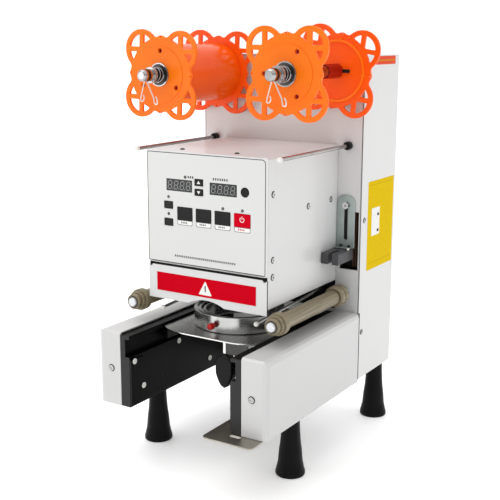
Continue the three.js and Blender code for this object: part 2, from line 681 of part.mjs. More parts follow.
// Moulded pull under the tray's apron: a drop shape, widest near its top.
function trayHandle() {
  const { x, top, bottom, halfWidth: w, y, thickness } = handle;
  const outline = new THREE.Shape();
  outline.moveTo(x - 6, top);
  outline.bezierCurveTo(x - w, top - 4, x - w - 2, top - 22, x - 4, bottom);
  outline.lineTo(x + 4, bottom);
  outline.bezierCurveTo(x + w - 2, top - 26, x + w + 2, top - 8, x + 6, top);
  return slabY(outline, y, y + thickness, 8);
}

add("tray_plate", trayPlate(), stainless);
add("cup_ring", cupRing(), stainless, { y: cup.y });
add("ring_knob", ringKnob(), redPlastic, { y: cup.y - cup.ringRadius - 0.1, z: 191 });
add("tray_pull_handle", trayHandle(), blackPlastic);

// ---------------------------------------------------------------- film guides
function filmRoller() {
  const { front, rear, tube, collar, axle } = roller;
  return turnedY([
    [0, front], [axle, front], [axle, front + 3], [tube, front + 3], [tube, front + 9],
    [collar - 2, front + 9.5], [collar - 2, front + 14], [collar, front + 15.5], [collar, front + 25],
    [tube + 1, front + 28], [tube, front + 30], [tube, rear - 19], [collar - 2, rear - 17],
    [collar, rear - 14], [collar, rear], [axle, rear], [axle, 7], [0, 7],
  ], 12);
}

function guideRod(radius, front, collar) {
  return turnedY([
    [0, front], [radius - 0.6, front], [radius, front + 1.2], [radius, -9], [collar, -9], [collar, -1],
    [radius, -1], [radius, 6], [0, 6],
  ], 8);
}

for (const { word, s } of sides) {
  add(`${word}_film_roller`, filmRoller(), beige, { x: s * roller.x, z: roller.z });
  const upper = guideRod(upperRod.radius, upperRod.front, upperRod.radius + 3);
  add(`${word}_upper_rod`, upper, polished, { x: s * upperRod.x, z: upperRod.z });
  const lower = guideRod(lowerRod.radius, lowerRod.front, lowerRod.radius + 1.5);
  add(`${word}_lower_rod`, lower, polished, { x: s * lowerRod.x, z: lowerRod.z, rx: lowerRod.fall });
}

// ---------------------------------------------------------------- film mark sensor
function sensorBracket() {
  const { x0, x1, z0, z1, slotX, slotZ0, slotZ1, crown } = sensorPlate;
  const outline = new THREE.Shape();
  outline.moveTo(x0, z0);
  outline.lineTo(x1, z0);
  outline.lineTo(x1, z1 - crown);
  outline.absarc(x1 - crown, z1 - crown, crown, 0, Math.PI / 2);
  outline.absarc(x0 + crown, z1 - crown, crown, Math.PI / 2, Math.PI);
  const plate = slabY(outline, -2.4, -0.4, 5);
  const tab = block(x0 + 2, x1 - 2, -12, -0.4, z0, z0 + 1.6);
  const slot = slabY(roundedRect(slotX - 2.3, slotX + 2.3, slotZ0, slotZ1, 2.2), -3, 1, 3);
  return plate.add(tab).subtract(slot);
}

function sensorBlock() {
  const { x0, x1, front, back, z0, z1, slot, slotDepth } = sensor;
  const middle = (x0 + x1) / 2;
  const body = block(x0, x1, front, back, z0, z1);
  const groove = block(middle - slot / 2, middle + slot / 2, front - 1, front + slotDepth, z0 - 1, z1 + 1);
  return body.subtract(groove);
}

add("sensor_bracket", sensorBracket(), zinc);
add("mark_sensor", sensorBlock(), blackPlastic);

// ---------------------------------------------------------------- film reels
// Clover flange: a disc with four open lobes, each lobe a rim with one upright and one level spoke.
function reelFlange(thickness) {
  const { radius, lobe, disc, rim, spoke, bump } = reel;
  let body = rodY(0, 0, disc, 0, thickness, 32);
  const centres = [[1, 1], [-1, 1], [-1, -1], [1, -1]].map(([a, b]) => [a * lobe, b * lobe]);
  for (const [x, z] of centres) {
    body = body.add(rodY(x, z, radius, 0, thickness, 16));
  }
  for (let i = 0; i < 4; i += 1) {
    const angle = (i * Math.PI) / 2;
    body = body.add(rodY(Math.cos(angle) * disc, Math.sin(angle) * disc, bump, 0, thickness, 6));
  }
  for (const [x, z] of centres) {
    let opening = rodY(x, z, radius - rim, -1, thickness + 1, 16);
    const half = spoke / 2;
    opening = opening.subtract(block(x - half, x + half, -2, thickness + 2, z - radius, z + radius));
    opening = opening.subtract(block(x - radius, x + radius, -2, thickness + 2, z - half, z + half));
    opening = opening.subtract(rodY(0, 0, disc - 1, -2, thickness + 2, 16));
    body = body.subtract(opening);
  }
  return body;
}

function frontFlange() {
  const { thickness, plateRadius, hubHole } = reel;
  const face = rodY(0, 0, plateRadius, -1, 1, 20);
  return reelFlange(thickness).add(face).subtract(rodY(0, 0, hubHole, -2, thickness + 1, 12));
}

function rearFlange(hubLength) {
  const { thickness, hubHole, hubRadius, ridgeInner, ridgeOuter } = reel;
  const ridge = rodY(0, 0, ridgeOuter, -2, 1, 20).subtract(rodY(0, 0, ridgeInner, -3, 2, 20));
  let body = reelFlange(thickness);
  if (hubLength > 0) {
    body = body.add(ridge).add(rodY(0, 0, hubRadius, -hubLength, 1, 12));
  }
  return body.subtract(rodY(0, 0, hubHole, -hubLength - 2, thickness + 1, 12));
}

// Steel shaft with its washer, spring collar and the stop behind the rear flange.
function reelAxle() {
  const { radius: r, front, back, washer, nut } = reelShaft;
  const face = reel.frontY - 1 - gap;
  const stop = reel.rearY + gap;
  const { nutFront, nutBack, washerThickness: t, stopLength } = reelShaft;
  const profile = [
    [0, front], [r - 3, front], [r - 0.8, front + 1.6], [r, front + 4], [r, front + nutFront],
    [nut, front + nutFront], [nut, front + nutBack], [r, front + nutBack], [r, face - t], [washer, face - t],
    [washer, face], [r, face], [r, stop], [r + 6, stop], [r + 6, stop + stopLength], [r, stop + stopLength],
    [r, back], [0, back],
  ];
  const slot = block(-4, 4, front + 8, front + 11, -r - 1, -3.5);
  return toSolid(turnedY(profile, 12)).subtract(slot);
}

// Wire hairpin clip that hangs in the shaft's slot, its two legs ending in small hooks.
function hairpinClip() {
  const points = [
    [-3.5, -26], [-2.4, -30], [-5.2, -33], [-8, -31.5], [-0.6, -5.6], [0.8, -5.6], [13, -29], [14.6, -36],
    [18.4, -35], [16.8, -28],
  ].map(([x, z]) => new THREE.Vector3(x, 0, z));
  const path = new THREE.CatmullRomCurve3(points, false, "centripetal");
  const wire = new THREE.Shape();
  wire.absarc(0, 0, 0.8, 0, 2 * Math.PI);
  const options = { steps: 18, extrudePath: path, curveSegments: 2, bevelEnabled: false };
  return new THREE.ExtrudeGeometry(wire, options);
}

for (const [word, { x, z, turn, rearTurn, hub }] of Object.entries({ supply, takeup })) {
  const at = { x, z };
  const front = { x, z, y: reel.frontY, ry: THREE.MathUtils.degToRad(turn) };
  const rear = { x, z, y: reel.rearY - reel.thickness, ry: THREE.MathUtils.degToRad(rearTurn) };
  add(`${word}_reel_shaft`, reelAxle(), polished, at);
  add(`${word}_front_flange`, frontFlange(), orange, front);
  add(`${word}_rear_flange`, rearFlange(hub), orange, rear);
  const springFront = reelShaft.front + reelShaft.nutBack + gap;
  const springLength = reel.frontY - 1 - 2 * gap - reelShaft.washerThickness - springFront;
  const sleeve = turnedY(springSleeve(reelSpring.inner, reelSpring.outer, springLength), 12);
  add(`${word}_reel_spring`, sleeve, zinc, { ...at, y: springFront });
  add(`${word}_shaft_clip`, hairpinClip(), polished, { ...at, y: reelShaft.front + reelShaft.clip });
}
const coreFront = reel.frontY + reel.thickness + gap;
const coreLength = reel.rearY - reel.thickness - gap - coreFront;
const coreProfile = [
  [core.inner, 0], [core.outer, 0], [core.outer, coreLength], [core.inner, coreLength], [core.inner, 0],
];
add("supply_film_core", turnedY(coreProfile, 24), orange, { x: supply.x, z: supply.z, y: coreFront });

// ---------------------------------------------------------------- origin at the middle of the footprint
const product = new THREE.Group();
machine.position.y = -(yFront + yBack) / 2;
product.add(machine);

export default product;
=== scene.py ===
"""Looks of the bench-top cup sealing machine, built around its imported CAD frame.

Places are millimetres in the machine's own frame: X to the right, Z up from the counter and Y from the
column's front face, negative towards the operator. place() turns them into the row frame's metres.
"""

import json
import math

import bmesh
import bpy
from mathutils import Matrix, Vector


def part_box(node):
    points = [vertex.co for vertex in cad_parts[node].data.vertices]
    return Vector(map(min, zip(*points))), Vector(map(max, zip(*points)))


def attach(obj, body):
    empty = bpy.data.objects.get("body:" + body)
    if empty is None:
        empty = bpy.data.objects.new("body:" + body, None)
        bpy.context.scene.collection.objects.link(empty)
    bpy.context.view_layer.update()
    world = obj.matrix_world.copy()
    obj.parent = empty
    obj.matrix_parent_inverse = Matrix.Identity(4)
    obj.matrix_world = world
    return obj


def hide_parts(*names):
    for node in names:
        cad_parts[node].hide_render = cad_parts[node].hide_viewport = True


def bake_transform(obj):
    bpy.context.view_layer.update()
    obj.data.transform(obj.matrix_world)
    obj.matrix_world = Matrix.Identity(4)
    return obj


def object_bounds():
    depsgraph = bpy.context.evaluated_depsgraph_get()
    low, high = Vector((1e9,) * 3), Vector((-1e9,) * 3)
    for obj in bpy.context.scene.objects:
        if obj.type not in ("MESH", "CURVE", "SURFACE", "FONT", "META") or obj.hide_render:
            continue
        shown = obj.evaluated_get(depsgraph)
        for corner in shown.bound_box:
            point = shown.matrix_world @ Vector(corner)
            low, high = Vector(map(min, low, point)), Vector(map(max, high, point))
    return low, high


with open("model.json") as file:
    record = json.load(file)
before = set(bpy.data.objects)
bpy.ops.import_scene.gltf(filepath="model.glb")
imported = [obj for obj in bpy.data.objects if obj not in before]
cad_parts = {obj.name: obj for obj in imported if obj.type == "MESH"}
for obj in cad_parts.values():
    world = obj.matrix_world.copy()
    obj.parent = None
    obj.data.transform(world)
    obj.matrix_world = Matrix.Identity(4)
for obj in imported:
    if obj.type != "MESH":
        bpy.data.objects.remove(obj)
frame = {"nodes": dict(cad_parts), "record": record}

MM = 0.001
cad_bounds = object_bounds()
column_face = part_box("column_cover")[0].y
body_of = {n: body for body, nodes in frame["record"]["behaviour"]["bodies"].items() for n in nodes}
slot_of = {part["node"]: part["material_slot"] for part in frame["record"]["subparts"]}


def place(x, y, z):
    return Vector((x * MM, y * MM + column_face, z * MM))


def span(node):
    """Lowest and highest corner of a CAD node, in millimetres."""
    low, high = (corner.copy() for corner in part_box(node))
    for corner in (low, high):
        corner.y -= column_face
    return low / MM, high / MM


def extent(node):
    """Lowest and highest corner of a CAD node, and its middle."""
    low, high = span(node)
    return low, high, (low + high) / 2


def middle(node):
    return extent(node)[2]


# ---------------------------------------------------------------- materials
def linear(r, g, b):
    """An 8-bit display colour as a linear one."""
    def channel(value):
        share = value / 255
        return share / 12.92 if share <= 0.04045 else ((share + 0.055) / 1.055) ** 2.4
    return (channel(r), channel(g), channel(b), 1.0)


class Finish:
    """A Principled material whose colour, roughness and bump come from noise in object space, in metres."""

    def __init__(self, name, roughness, metallic=0.0, **sockets):
        self.material = bpy.data.materials.new(name)
        self.material.use_nodes = True
        self.tree = self.material.node_tree
        self.shader = self.tree.nodes["Principled BSDF"]
        self.shader.inputs["Metallic"].default_value = metallic
        self.roughness = roughness
        for socket, value in sockets.items():
            self.shader.inputs[socket.replace("_", " ")].default_value = value
        self.coordinates = self.node("ShaderNodeTexCoord").outputs["Object"]
        self.height = None

    def node(self, kind, **settings):
        made = self.tree.nodes.new(kind)
        for key, value in settings.items():
            setattr(made, key, value)
        return made

    def link(self, output, target):
        self.tree.links.new(output, target)

    def stretched(self, scale):
        mapping = self.node("ShaderNodeMapping")
        mapping.inputs["Scale"].default_value = scale
        self.link(self.coordinates, mapping.inputs["Vector"])
        return mapping.outputs["Vector"]

    def rings(self, axis):
        """Coordinates that only change with the distance from an axis and along it: lathe marks."""
        apart = self.node("ShaderNodeSeparateXYZ")
        self.link(self.coordinates, apart.inputs["Vector"])
        across = [word for word in "XYZ" if word != axis]
        flat = self.node("ShaderNodeCombineXYZ")
        for word, target in zip(across, "XY"):
            self.link(apart.outputs[word], flat.inputs[target])
        radius = self.node("ShaderNodeVectorMath", operation="LENGTH")
        self.link(flat.outputs["Vector"], radius.inputs[0])
        both = self.node("ShaderNodeCombineXYZ")
        self.link(radius.outputs["Value"], both.inputs["X"])
        self.link(apart.outputs[axis], both.inputs["Y"])
        return both.outputs["Vector"]

    def noise(self, scale, vector=None, detail=3.0, rough=0.5):
        texture = self.node("ShaderNodeTexNoise")
        texture.inputs["Scale"].default_value = scale
        texture.inputs["Detail"].default_value = detail
        texture.inputs["Roughness"].default_value = rough
        self.link(vector or self.coordinates, texture.inputs["Vector"])
        return texture.outputs["Fac"]

    def spread(self, factor, low, high):
        """Noise stays near its middle, so its inner part is stretched over the whole range."""
        reach = self.node("ShaderNodeMapRange")
        for socket, value in (("From Min", 0.3), ("From Max", 0.7), ("To Min", low), ("To Max", high)):
            reach.inputs[socket].default_value = value
        self.link(factor, reach.inputs["Value"])
        return reach.outputs["Result"]

    def colours(self, factor, first, second):
        mix = self.node("ShaderNodeMix", data_type="RGBA")
        mix.inputs["A"].default_value = first
        mix.inputs["B"].default_value = second
        self.link(self.spread(factor, 0.0, 1.0), mix.inputs["Factor"])
        self.link(mix.outputs["Result"], self.shader.inputs["Base Color"])
        return self

    def gloss(self, factor, change):
        self.link(
            self.spread(factor, self.roughness - change, self.roughness + change),
            self.shader.inputs["Roughness"],
        )
        return self

    def bump(self, factor, depth, strength=1.0):
        made = self.node("ShaderNodeBump")
        made.inputs["Distance"].default_value = depth
        made.inputs["Strength"].default_value = strength
        self.link(factor, made.inputs["Height"])
        if self.height is not None:
            self.link(self.height, made.inputs["Normal"])
        self.height = made.outputs["Normal"]
        self.link(self.height, self.shader.inputs["Normal"])
        return self


SATIN = {"Specular_IOR_Level": 0.2}


def powder_coat(name, colour, shade, roughness, coat=0.0, specular=0.5):
    finish = Finish(name, roughness, Coat_Weight=coat, Coat_Roughness=0.1, Specular_IOR_Level=specular)
    finish.colours(finish.noise(7, detail=5), linear(*colour), linear(*shade))
    finish.gloss(finish.noise(40, detail=6), 0.015)
    return finish.bump(finish.noise(620, detail=2), 0.00004, 0.3).material


def moulded(name, colour, shade, roughness, grain=900, depth=0.00006, **sockets):
    finish = Finish(name, roughness, **sockets)
    finish.colours(finish.noise(22, detail=4), linear(*colour), linear(*shade))
    finish.gloss(finish.noise(60, detail=6), 0.06)
    return finish.bump(finish.noise(grain, detail=3), depth, 0.4).material


def brushed(name, colour, shade, roughness, scale, depth=0.000008):
    finish = Finish(name, roughness, 1.0)
    lines = finish.noise(900, finish.stretched(scale), detail=4, rough=0.6)
    finish.colours(finish.noise(14, detail=5), linear(*colour), linear(*shade))
    finish.gloss(lines, 0.07)
    return finish.bump(lines, depth, 0.3).material


def lathed(name, colour, shade, roughness, axis, depth=0.00002):
    finish = Finish(name, roughness, 1.0)
    marks = finish.noise(2600, finish.rings(axis), detail=2, rough=0.7)
    finish.colours(finish.noise(30, detail=4), linear(*colour), linear(*shade))
    finish.gloss(marks, 0.07)
    return finish.bump(marks, depth, 0.5).material


def printed(name, colour):
    """Ink or foil: a flat tone that still has the fine mottling of a printed sheet."""
    finish = Finish(name, 0.4, IOR=1.06)
    tone = linear(*colour)
    darker = tuple(channel * 0.92 for channel in tone[:3]) + (1.0,)
    finish.colours(finish.noise(240, detail=3), tone, darker)
    finish.gloss(finish.noise(90), 0.05)
    return finish.bump(finish.noise(1500), 0.00001, 0.3).material


def streaked_nylon():
    """Beige nylon, machined all round and marked lengthways by the film that runs over it."""
    finish = Finish("turned_nylon", 0.4)
    streaks = finish.noise(620, finish.stretched((1, 0.03, 1)), detail=5, rough=0.65)
    finish.colours(streaks, linear(146, 134, 106), linear(100, 90, 68))
    finish.gloss(streaks, 0.1)
    marks = finish.noise(900, finish.rings("Y"), detail=2)
    return finish.bump(marks, 0.00003, 0.4).material


def translucent(name, colour, shade, roughness, depth):
    finish = Finish(
        name, roughness, Subsurface_Weight=0.3, Subsurface_Radius=(1.0, 0.32, 0.05),
        Subsurface_Scale=depth, Coat_Weight=0.06, Coat_Roughness=0.08, Specular_IOR_Level=0.16,
    )
    finish.colours(finish.noise(16, detail=3), linear(*colour), linear(*shade))
    finish.gloss(finish.noise(45, detail=5), 0.06)
    return finish.bump(finish.noise(330), 0.00004, 0.25).material


white = powder_coat("white_powder_coat", (210, 210, 209), (208, 208, 208), 0.3, coat=0.2)
membrane_grey = powder_coat("membrane_film", (211, 212, 210), (209, 210, 208), 0.42)
# A darker copy of the white powder coat for the arm claddings: painted shade.
cladding_white_shaded = powder_coat("cladding_powder_coat_shaded", (200, 200, 199), (198, 198, 198), 0.3, coat=0.2)
black_coat = powder_coat("black_powder_coat", (5, 5, 5), (9, 9, 9), 0.36, specular=0.06)
# A lighter grey copy of the black coat for the arm frames' front faces: a painted highlight.
front_highlight = powder_coat("lit_front_edge", (40, 40, 40), (48, 48, 48), 0.4, specular=0.2)
steel_sheet = brushed("brushed_sheet", (168, 168, 166), (156, 156, 154), 0.28, (1, 0.02, 1), 0.0000015)
zinc = brushed("zinc_plating", (188, 198, 194), (152, 162, 160), 0.38, (1, 1, 0.06))
dark_steel = brushed("oiled_steel", (188, 183, 172), (150, 145, 134), 0.4, (0.05, 1, 1))
turned_z = lathed("turned_steel_upright", (204, 204, 202), (176, 176, 174), 0.22, "Z")
turned_y = lathed("turned_steel_level", (190, 190, 190), (140, 140, 140), 0.16, "Y")
screw_steel = moulded("screw_steel", (206, 206, 204), (160, 160, 158), 0.22, Metallic=1.0)
shaded_steel = brushed("shaded_sheet", (84, 84, 82), (68, 68, 66), 0.4, (1, 1, 0.02))
axle_steel = moulded("axle_end_steel", (222, 225, 228), (200, 203, 206), 0.36, Metallic=0.5)
# Dark burnished steel for rods, nuts and screws; on the tray's side flanges it is painted shade.
burnished_and_shaded = moulded("burnished_rod", (52, 52, 52), (36, 36, 36), 0.4, Metallic=1.0)
# Bright steel for the handle's bolt; on the tray's front edge and the apron strip it is a painted highlight.
bright_steel_and_highlight = brushed("polished_steel_and_highlight", (238, 238, 236), (214, 214, 212), 0.2, (0.02, 1, 1))
polished = lathed("polished_rod", (176, 172, 170), (150, 146, 144), 0.2, "Y", depth=0.000008)
# A lighter copy of the polished rod steel for the lower rods: a painted highlight.
rod_steel_highlight = lathed("rod_steel_highlight", (236, 236, 234), (208, 208, 206), 0.22, "Y", depth=0.000008)
spring_steel = moulded("spring_wire", (176, 176, 178), (110, 110, 112), 0.24, Metallic=1.0)
clip_wire = moulded("clip_wire", (232, 226, 222), (204, 198, 194), 0.32, Metallic=1.0)
aluminium = brushed("milled_aluminium", (176, 178, 180), (150, 152, 155), 0.4, (1, 0.05, 1))
cast_metal = moulded("cast_motor_case", (92, 92, 94), (70, 70, 72), 0.5, 500, 0.0002, Metallic=0.8)
orange = translucent("orange_moulding", (255, 121, 8), (254, 110, 6), 0.36, 0.004)
# A darker, redder copy of the orange moulding for the rear flanges: painted shade.
orange_rear_shaded = translucent("orange_moulding_rear_shaded", (250, 96, 8), (244, 82, 6), 0.34, 0.004)
orange_core = translucent("orange_tube", (246, 96, 10), (238, 84, 8), 0.2, 0.003)
deep_red = translucent("red_hub", (176, 30, 8), (146, 20, 6), 0.4, 0.002)
black_plastic = moulded("black_moulding", (18, 18, 18), (26, 26, 26), 0.42, **SATIN)
handle_black = moulded("handle_moulding", (8, 8, 8), (13, 13, 13), 0.3, Specular_IOR_Level=0.16)
sensor_grey = moulded("sensor_case", (78, 78, 80), (66, 66, 68), 0.44, **SATIN)
key_black = moulded("key_black", (19, 19, 19), (25, 25, 25), 0.5, 1400, 0.00003, **SATIN)
key_red = printed("red_key", (201, 8, 32))
knob_red = moulded("knob_red", (192, 5, 10), (156, 3, 8), 0.3, Coat_Weight=0.12, **SATIN)
nylon = streaked_nylon()
# Dark brown bands in the roller's grooves and joints: painted shade.
groove_shade_nylon = moulded("painted_groove_shade", (70, 60, 44), (58, 49, 36), 0.5)
pale_nylon = moulded("pale_nylon", (232, 232, 226), (216, 216, 208), 0.36)
wire_brown = moulded("brown_wire", (92, 56, 28), (76, 44, 20), 0.4, **SATIN)
rubber = moulded("foot_rubber", (9, 9, 9), (14, 14, 14), 0.42, 700, 0.00012, Specular_IOR_Level=0.1)
glass_dark = moulded("display_glass", (50, 51, 52), (45, 46, 47), 0.18, 600, 0.00001, **SATIN)
segment_grey = printed("unlit_segments", (150, 150, 150))
solder_mask = moulded("solder_mask", (24, 92, 52), (18, 78, 44), 0.35, 500, 0.00005)
ink_grey = printed("grey_ink", (62, 62, 62))
ink_black = printed("black_ink", (20, 20, 20))
ink_white = printed("white_ink", (238, 238, 236))
strip_red = printed("red_strip", (201, 4, 28))
label_yellow = printed("yellow_foil", (222, 188, 0))
label_line = printed("yellow_foil_line", (200, 158, 8))
sticker_orange = printed("orange_sticker", (222, 84, 58))
lamp_grey = moulded("small_lamp", (96, 98, 96), (76, 78, 76), 0.2)
brass = lathed("brass_pins", (206, 176, 108), (180, 150, 86), 0.3, "Y")


# ---------------------------------------------------------------- shapes
def softened(points, cut, closed=False, steps=3):
    """Rounds each corner of a line of points with a small curve that starts this far from the corner."""
    rounded = []
    count = len(points)
    for i, corner in enumerate(points):
        if not closed and i in (0, count - 1):
            rounded.append(tuple(corner))
            continue
        here = Vector(corner)
        before = Vector(points[i - 1]) - here
        after = Vector(points[(i + 1) % count]) - here
        reach = min(cut, 0.45 * before.length, 0.45 * after.length)
        first = here + before.normalized() * reach
        last = here + after.normalized() * reach
        for step in range(steps + 1):
            t = step / steps
            rounded.append(tuple(first * (1 - t) ** 2 + here * 2 * t * (1 - t) + last * t * t))
    return rounded


SHARP_ANGLE = math.radians(32)


def finish_mesh(mesh):
    mesh.validate()
    mesh.shade_smooth()
    mesh.set_sharp_from_angle(angle=SHARP_ANGLE)


def mesh_of(work):
    bmesh.ops.remove_doubles(work, verts=work.verts, dist=1e-4)
    bmesh.ops.recalc_face_normals(work, faces=work.faces)
    mesh = bpy.data.meshes.new("shape")
    work.to_mesh(mesh)
    work.free()
    return mesh


AXES = {
    "X": lambda r, t, a: (t, r * math.cos(a), r * math.sin(a)),
    "Y": lambda r, t, a: (r * math.cos(a), t, r * math.sin(a)),
    "Z": lambda r, t, a: (r * math.cos(a), r * math.sin(a), t),
}


def turned(profile, axis="Y", segments=72, cut=0.4, closed=False):
    """A turned piece: each profile point is (radius, distance along the axis), its corners softened."""
    if cut:
        profile = softened(profile, cut, closed)
    work = bmesh.new()
    rings = []
    for radius, along in profile:
        count = 1 if radius < 1e-6 else segments
        turn = [2 * math.pi * i / segments for i in range(count)]
        rings.append([work.verts.new(AXES[axis](radius, along, a)) for a in turn])
    pairs = list(zip(rings, rings[1:]))
    if closed:
        pairs.append((rings[-1], rings[0]))
    for a, b in pairs:
        for i in range(segments):
            j = (i + 1) % segments
            corners = [a[i % len(a)], a[j % len(a)], b[j % len(b)], b[i % len(b)]]
            unique = list(dict.fromkeys(corners))
            if len(unique) > 2:
                work.faces.new(unique)
    return mesh_of(work)


FACING = {
    "front": Matrix(((1, 0, 0, 0), (0, 0, -1, 0), (0, 1, 0, 0), (0, 0, 0, 1))),
    "side": Matrix(((0, 0, 1, 0), (1, 0, 0, 0), (0, 1, 0, 0), (0, 0, 0, 1))),
    "top": Matrix.Identity(4),
}


def curve_mesh(curve):
    holder = bpy.data.objects.new("holder", curve)
    bpy.context.scene.collection.objects.link(holder)
    bpy.context.view_layer.update()
    evaluated = holder.evaluated_get(bpy.context.evaluated_depsgraph_get())
    mesh = bpy.data.meshes.new_from_object(evaluated)
    bpy.data.objects.remove(holder)
    bpy.data.curves.remove(curve)
    work = bmesh.new()
    work.from_mesh(mesh)
    bpy.data.meshes.remove(mesh)
    return mesh_of(work)


def line_of(curve, points, closed):
    spline = curve.splines.new("POLY")
    spline.points.add(len(points) - 1)
    for target, point in zip(spline.points, points):
        target.co = (*point, 0.0, 1.0) if len(point) == 2 else (*point, 1.0)
    spline.use_cyclic_u = closed


def flat(outline, thickness, holes=(), edge=0.3, facing="front", steps=2):
    """A plate with rounded edges: an outline with holes, given thickness about its own middle plane."""
    edge = min(edge, thickness * 0.49)
    curve = bpy.data.curves.new("outline", "CURVE")
    curve.dimensions = "2D"
    curve.fill_mode = "BOTH"
    curve.extrude = thickness / 2 - edge
    curve.bevel_depth = edge
    curve.bevel_resolution = steps
    curve.offset = -edge
    for points in (outline, *holes):
        line_of(curve, points, True)
    mesh = curve_mesh(curve)
    mesh.transform(FACING[facing])
    return mesh


def tube(points, radius, sides):
    """Round wire along points, with closed ends."""
    curve = bpy.data.curves.new("wire", "CURVE")
    curve.dimensions = "3D"
    curve.bevel_depth = radius
    curve.bevel_resolution = sides
    curve.use_fill_caps = True
    line_of(curve, points, False)
    return curve_mesh(curve)


def moved(mesh, x=0.0, y=0.0, z=0.0, turn=0.0, axis="Y"):
    mesh.transform(Matrix.Translation((x, y, z)) @ Matrix.Rotation(math.radians(turn), 4, axis))
    return mesh


def together(*meshes):
    work = bmesh.new()
    for mesh in meshes:
        work.from_mesh(mesh)
        bpy.data.meshes.remove(mesh)
    joined = bpy.data.meshes.new("joined")
    work.to_mesh(joined)
    work.free()
    return joined


def rectangle(x0, x1, z0, z1, radius=0.0, steps=6):
    if radius <= 0:
        return [(x0, z0), (x1, z0), (x1, z1), (x0, z1)]
    left, right, low, high = x0 + radius, x1 - radius, z0 + radius, z1 - radius
    points = []
    for quarter, centre in enumerate(((right, low), (right, high), (left, high), (left, low))):
        points += arc(*centre, radius, 90 * quarter - 90, 90 * quarter, steps)
    return points


def arc(cx, cz, radius, start, stop, steps):
    turns = [math.radians(start + (stop - start) * i / steps) for i in range(steps + 1)]
    return [(cx + radius * math.cos(a), cz + radius * math.sin(a)) for a in turns]


def circle(cx, cz, radius, steps=32):
    return arc(cx, cz, radius, 0, 360, steps)[:-1]


def polar(radius, degrees):
    angle = math.radians(degrees)
    return radius * math.cos(angle), radius * math.sin(angle)


def shifted(profile, start):
    """Profile points whose distance along the axis is given from a start."""
    return [(radius, start + along) for radius, along in profile]


# ---------------------------------------------------------------- pieces
def piece(name, mesh, material, body, at=(0, 0, 0), turn=0.0, stands_for=None, slot=None):
    """Puts a mesh, in millimetres about its own origin, in the frame. It rides on a body, or on none yet."""
    mesh.transform(Matrix.Scale(MM, 4) @ Matrix.Rotation(math.radians(turn), 4, "Y"))
    finish_mesh(mesh)
    mesh.name = name
    mesh.materials.append(material)
    made = bpy.data.objects.new(name, mesh)
    bpy.context.scene.collection.objects.link(made)
    made.location = place(*at)
    weigh(made)
    if body:
        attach(made, body)
    if stands_for:
        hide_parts(stands_for)
        slot = slot or slot_of[stands_for]
    return made


def weigh(made):
    """Large faces keep their own shade next to rounded edges."""
    modifier = made.modifiers.new("weighted", "WEIGHTED_NORMAL")
    modifier.keep_sharp = True


def stand_in(node, mesh, material, at=(0, 0, 0), turn=0.0):
    return piece(f"{node}_fine", mesh, material, body_of[node], at, turn, stands_for=node)


def turned_in(node, material, profile, axis, segments, cut, closed=False):
    """A turned piece for a node; its profile starts at the node's foot, or at its front along Y."""
    low, _, centre = extent(node)
    at = (centre.x, low.y, centre.z) if axis == "Y" else (centre.x, centre.y, low.z)
    stand_in(node, turned(profile, axis, segments, cut, closed), material, at)


def round_size(node):
    """Radius of a round node, its depth and its height."""
    low, high = span(node)
    return (high.x - low.x) / 2, high.y - low.y, high.z - low.z


def sheets(name, outlines, thickness, at, material, body="frame", edge=0.1, facing="front"):
    """Flat outlines of one thickness, joined into one piece; their middle plane lies at this distance."""
    joined = together(*(flat(outline, thickness, edge=edge, facing=facing) for outline in outlines))
    shift = {"y": at} if facing == "front" else {"x": at}
    return piece(name, moved(joined, **shift), material, body)


def refined(node, material, edge=0.4, angle=25, steps=2, others=()):
    """The CAD piece itself with its edges rounded. others: (material, test of a face's middle and normal)."""
    work = bmesh.new()
    work.from_mesh(frame["nodes"][node].data)
    bmesh.ops.remove_doubles(work, verts=work.verts, dist=1e-6)
    bmesh.ops.dissolve_limit(
        work, angle_limit=math.radians(0.5), verts=work.verts, edges=work.edges,
        use_dissolve_boundaries=False,
    )
    sharp = [e for e in work.edges if e.is_manifold and e.calc_face_angle(0) > math.radians(angle)]
    bmesh.ops.bevel(
        work, geom=sharp, offset=edge * MM, offset_type="OFFSET", segments=steps, profile=0.5,
        affect="EDGES", clamp_overlap=True,
    )
    bmesh.ops.recalc_face_normals(work, faces=work.faces)
    mesh = bpy.data.meshes.new(node)
    work.to_mesh(mesh)
    work.free()
    mesh.validate()
    mesh.transform(Matrix.Translation(-place(0, 0, 0)))
    mesh.transform(Matrix.Scale(1 / MM, 4))
    for index, (_, wanted) in enumerate(others, 1):
        for face in mesh.polygons:
            if wanted(face.center, face.normal):
                face.material_index = index
    made = stand_in(node, mesh, material)
    for extra, _ in others:
        made.data.materials.append(extra)


def screw_head(radius, height=1.3):
    """Pan head with a cross recess, facing -Y, its seat on the XZ plane."""
    long = radius * 0.58
    wide = radius * 0.15
    quarter = [(wide, wide), (long, wide), (long, -wide)]
    cross = []
    for _ in range(4):
        cross += quarter
        quarter = [(v, -u) for u, v in quarter]
    dome = flat(circle(0, 0, radius, 28), height, [cross], edge=height * 0.42, steps=3)
    floor = -height * 0.3
    core = turned([(0, floor), (radius * 0.8, floor), (radius * 0.8, 0), (0, 0)])
    return together(moved(dome, y=-height / 2), core)


def screw_shadow_ring(radius):
    """A painted shadow: the dark ring that a head leaves round itself."""
    inner = radius * 0.7
    outer = radius + 0.9
    return turned([(inner, -0.25), (outer, -0.25), (outer + 0.1, 0), (inner, 0)], closed=True)


FACE_TURNS = {
    "front": (0, "Z"), "right": (90, "Z"), "left": (-90, "Z"), "back": (180, "Z"), "top": (-90, "X"),
}


def screws(name, body, facing, places, radius=2.8, material=None):
    """Screw heads on one face of a body, joined into one piece, and their painted shadow rings."""
    turn, axis = FACE_TURNS[facing]
    heads = []
    shadow_rings = []
    for number, spot in enumerate(places):
        head = moved(screw_head(radius), turn=37 * number)
        heads.append(moved(moved(head, turn=turn, axis=axis), *spot))
        shadow_rings.append(moved(moved(screw_shadow_ring(radius), turn=turn, axis=axis), *spot))
    piece(f"{name}_seats", together(*shadow_rings), ink_black, body)
    piece(name, together(*heads), material or screw_steel, body)


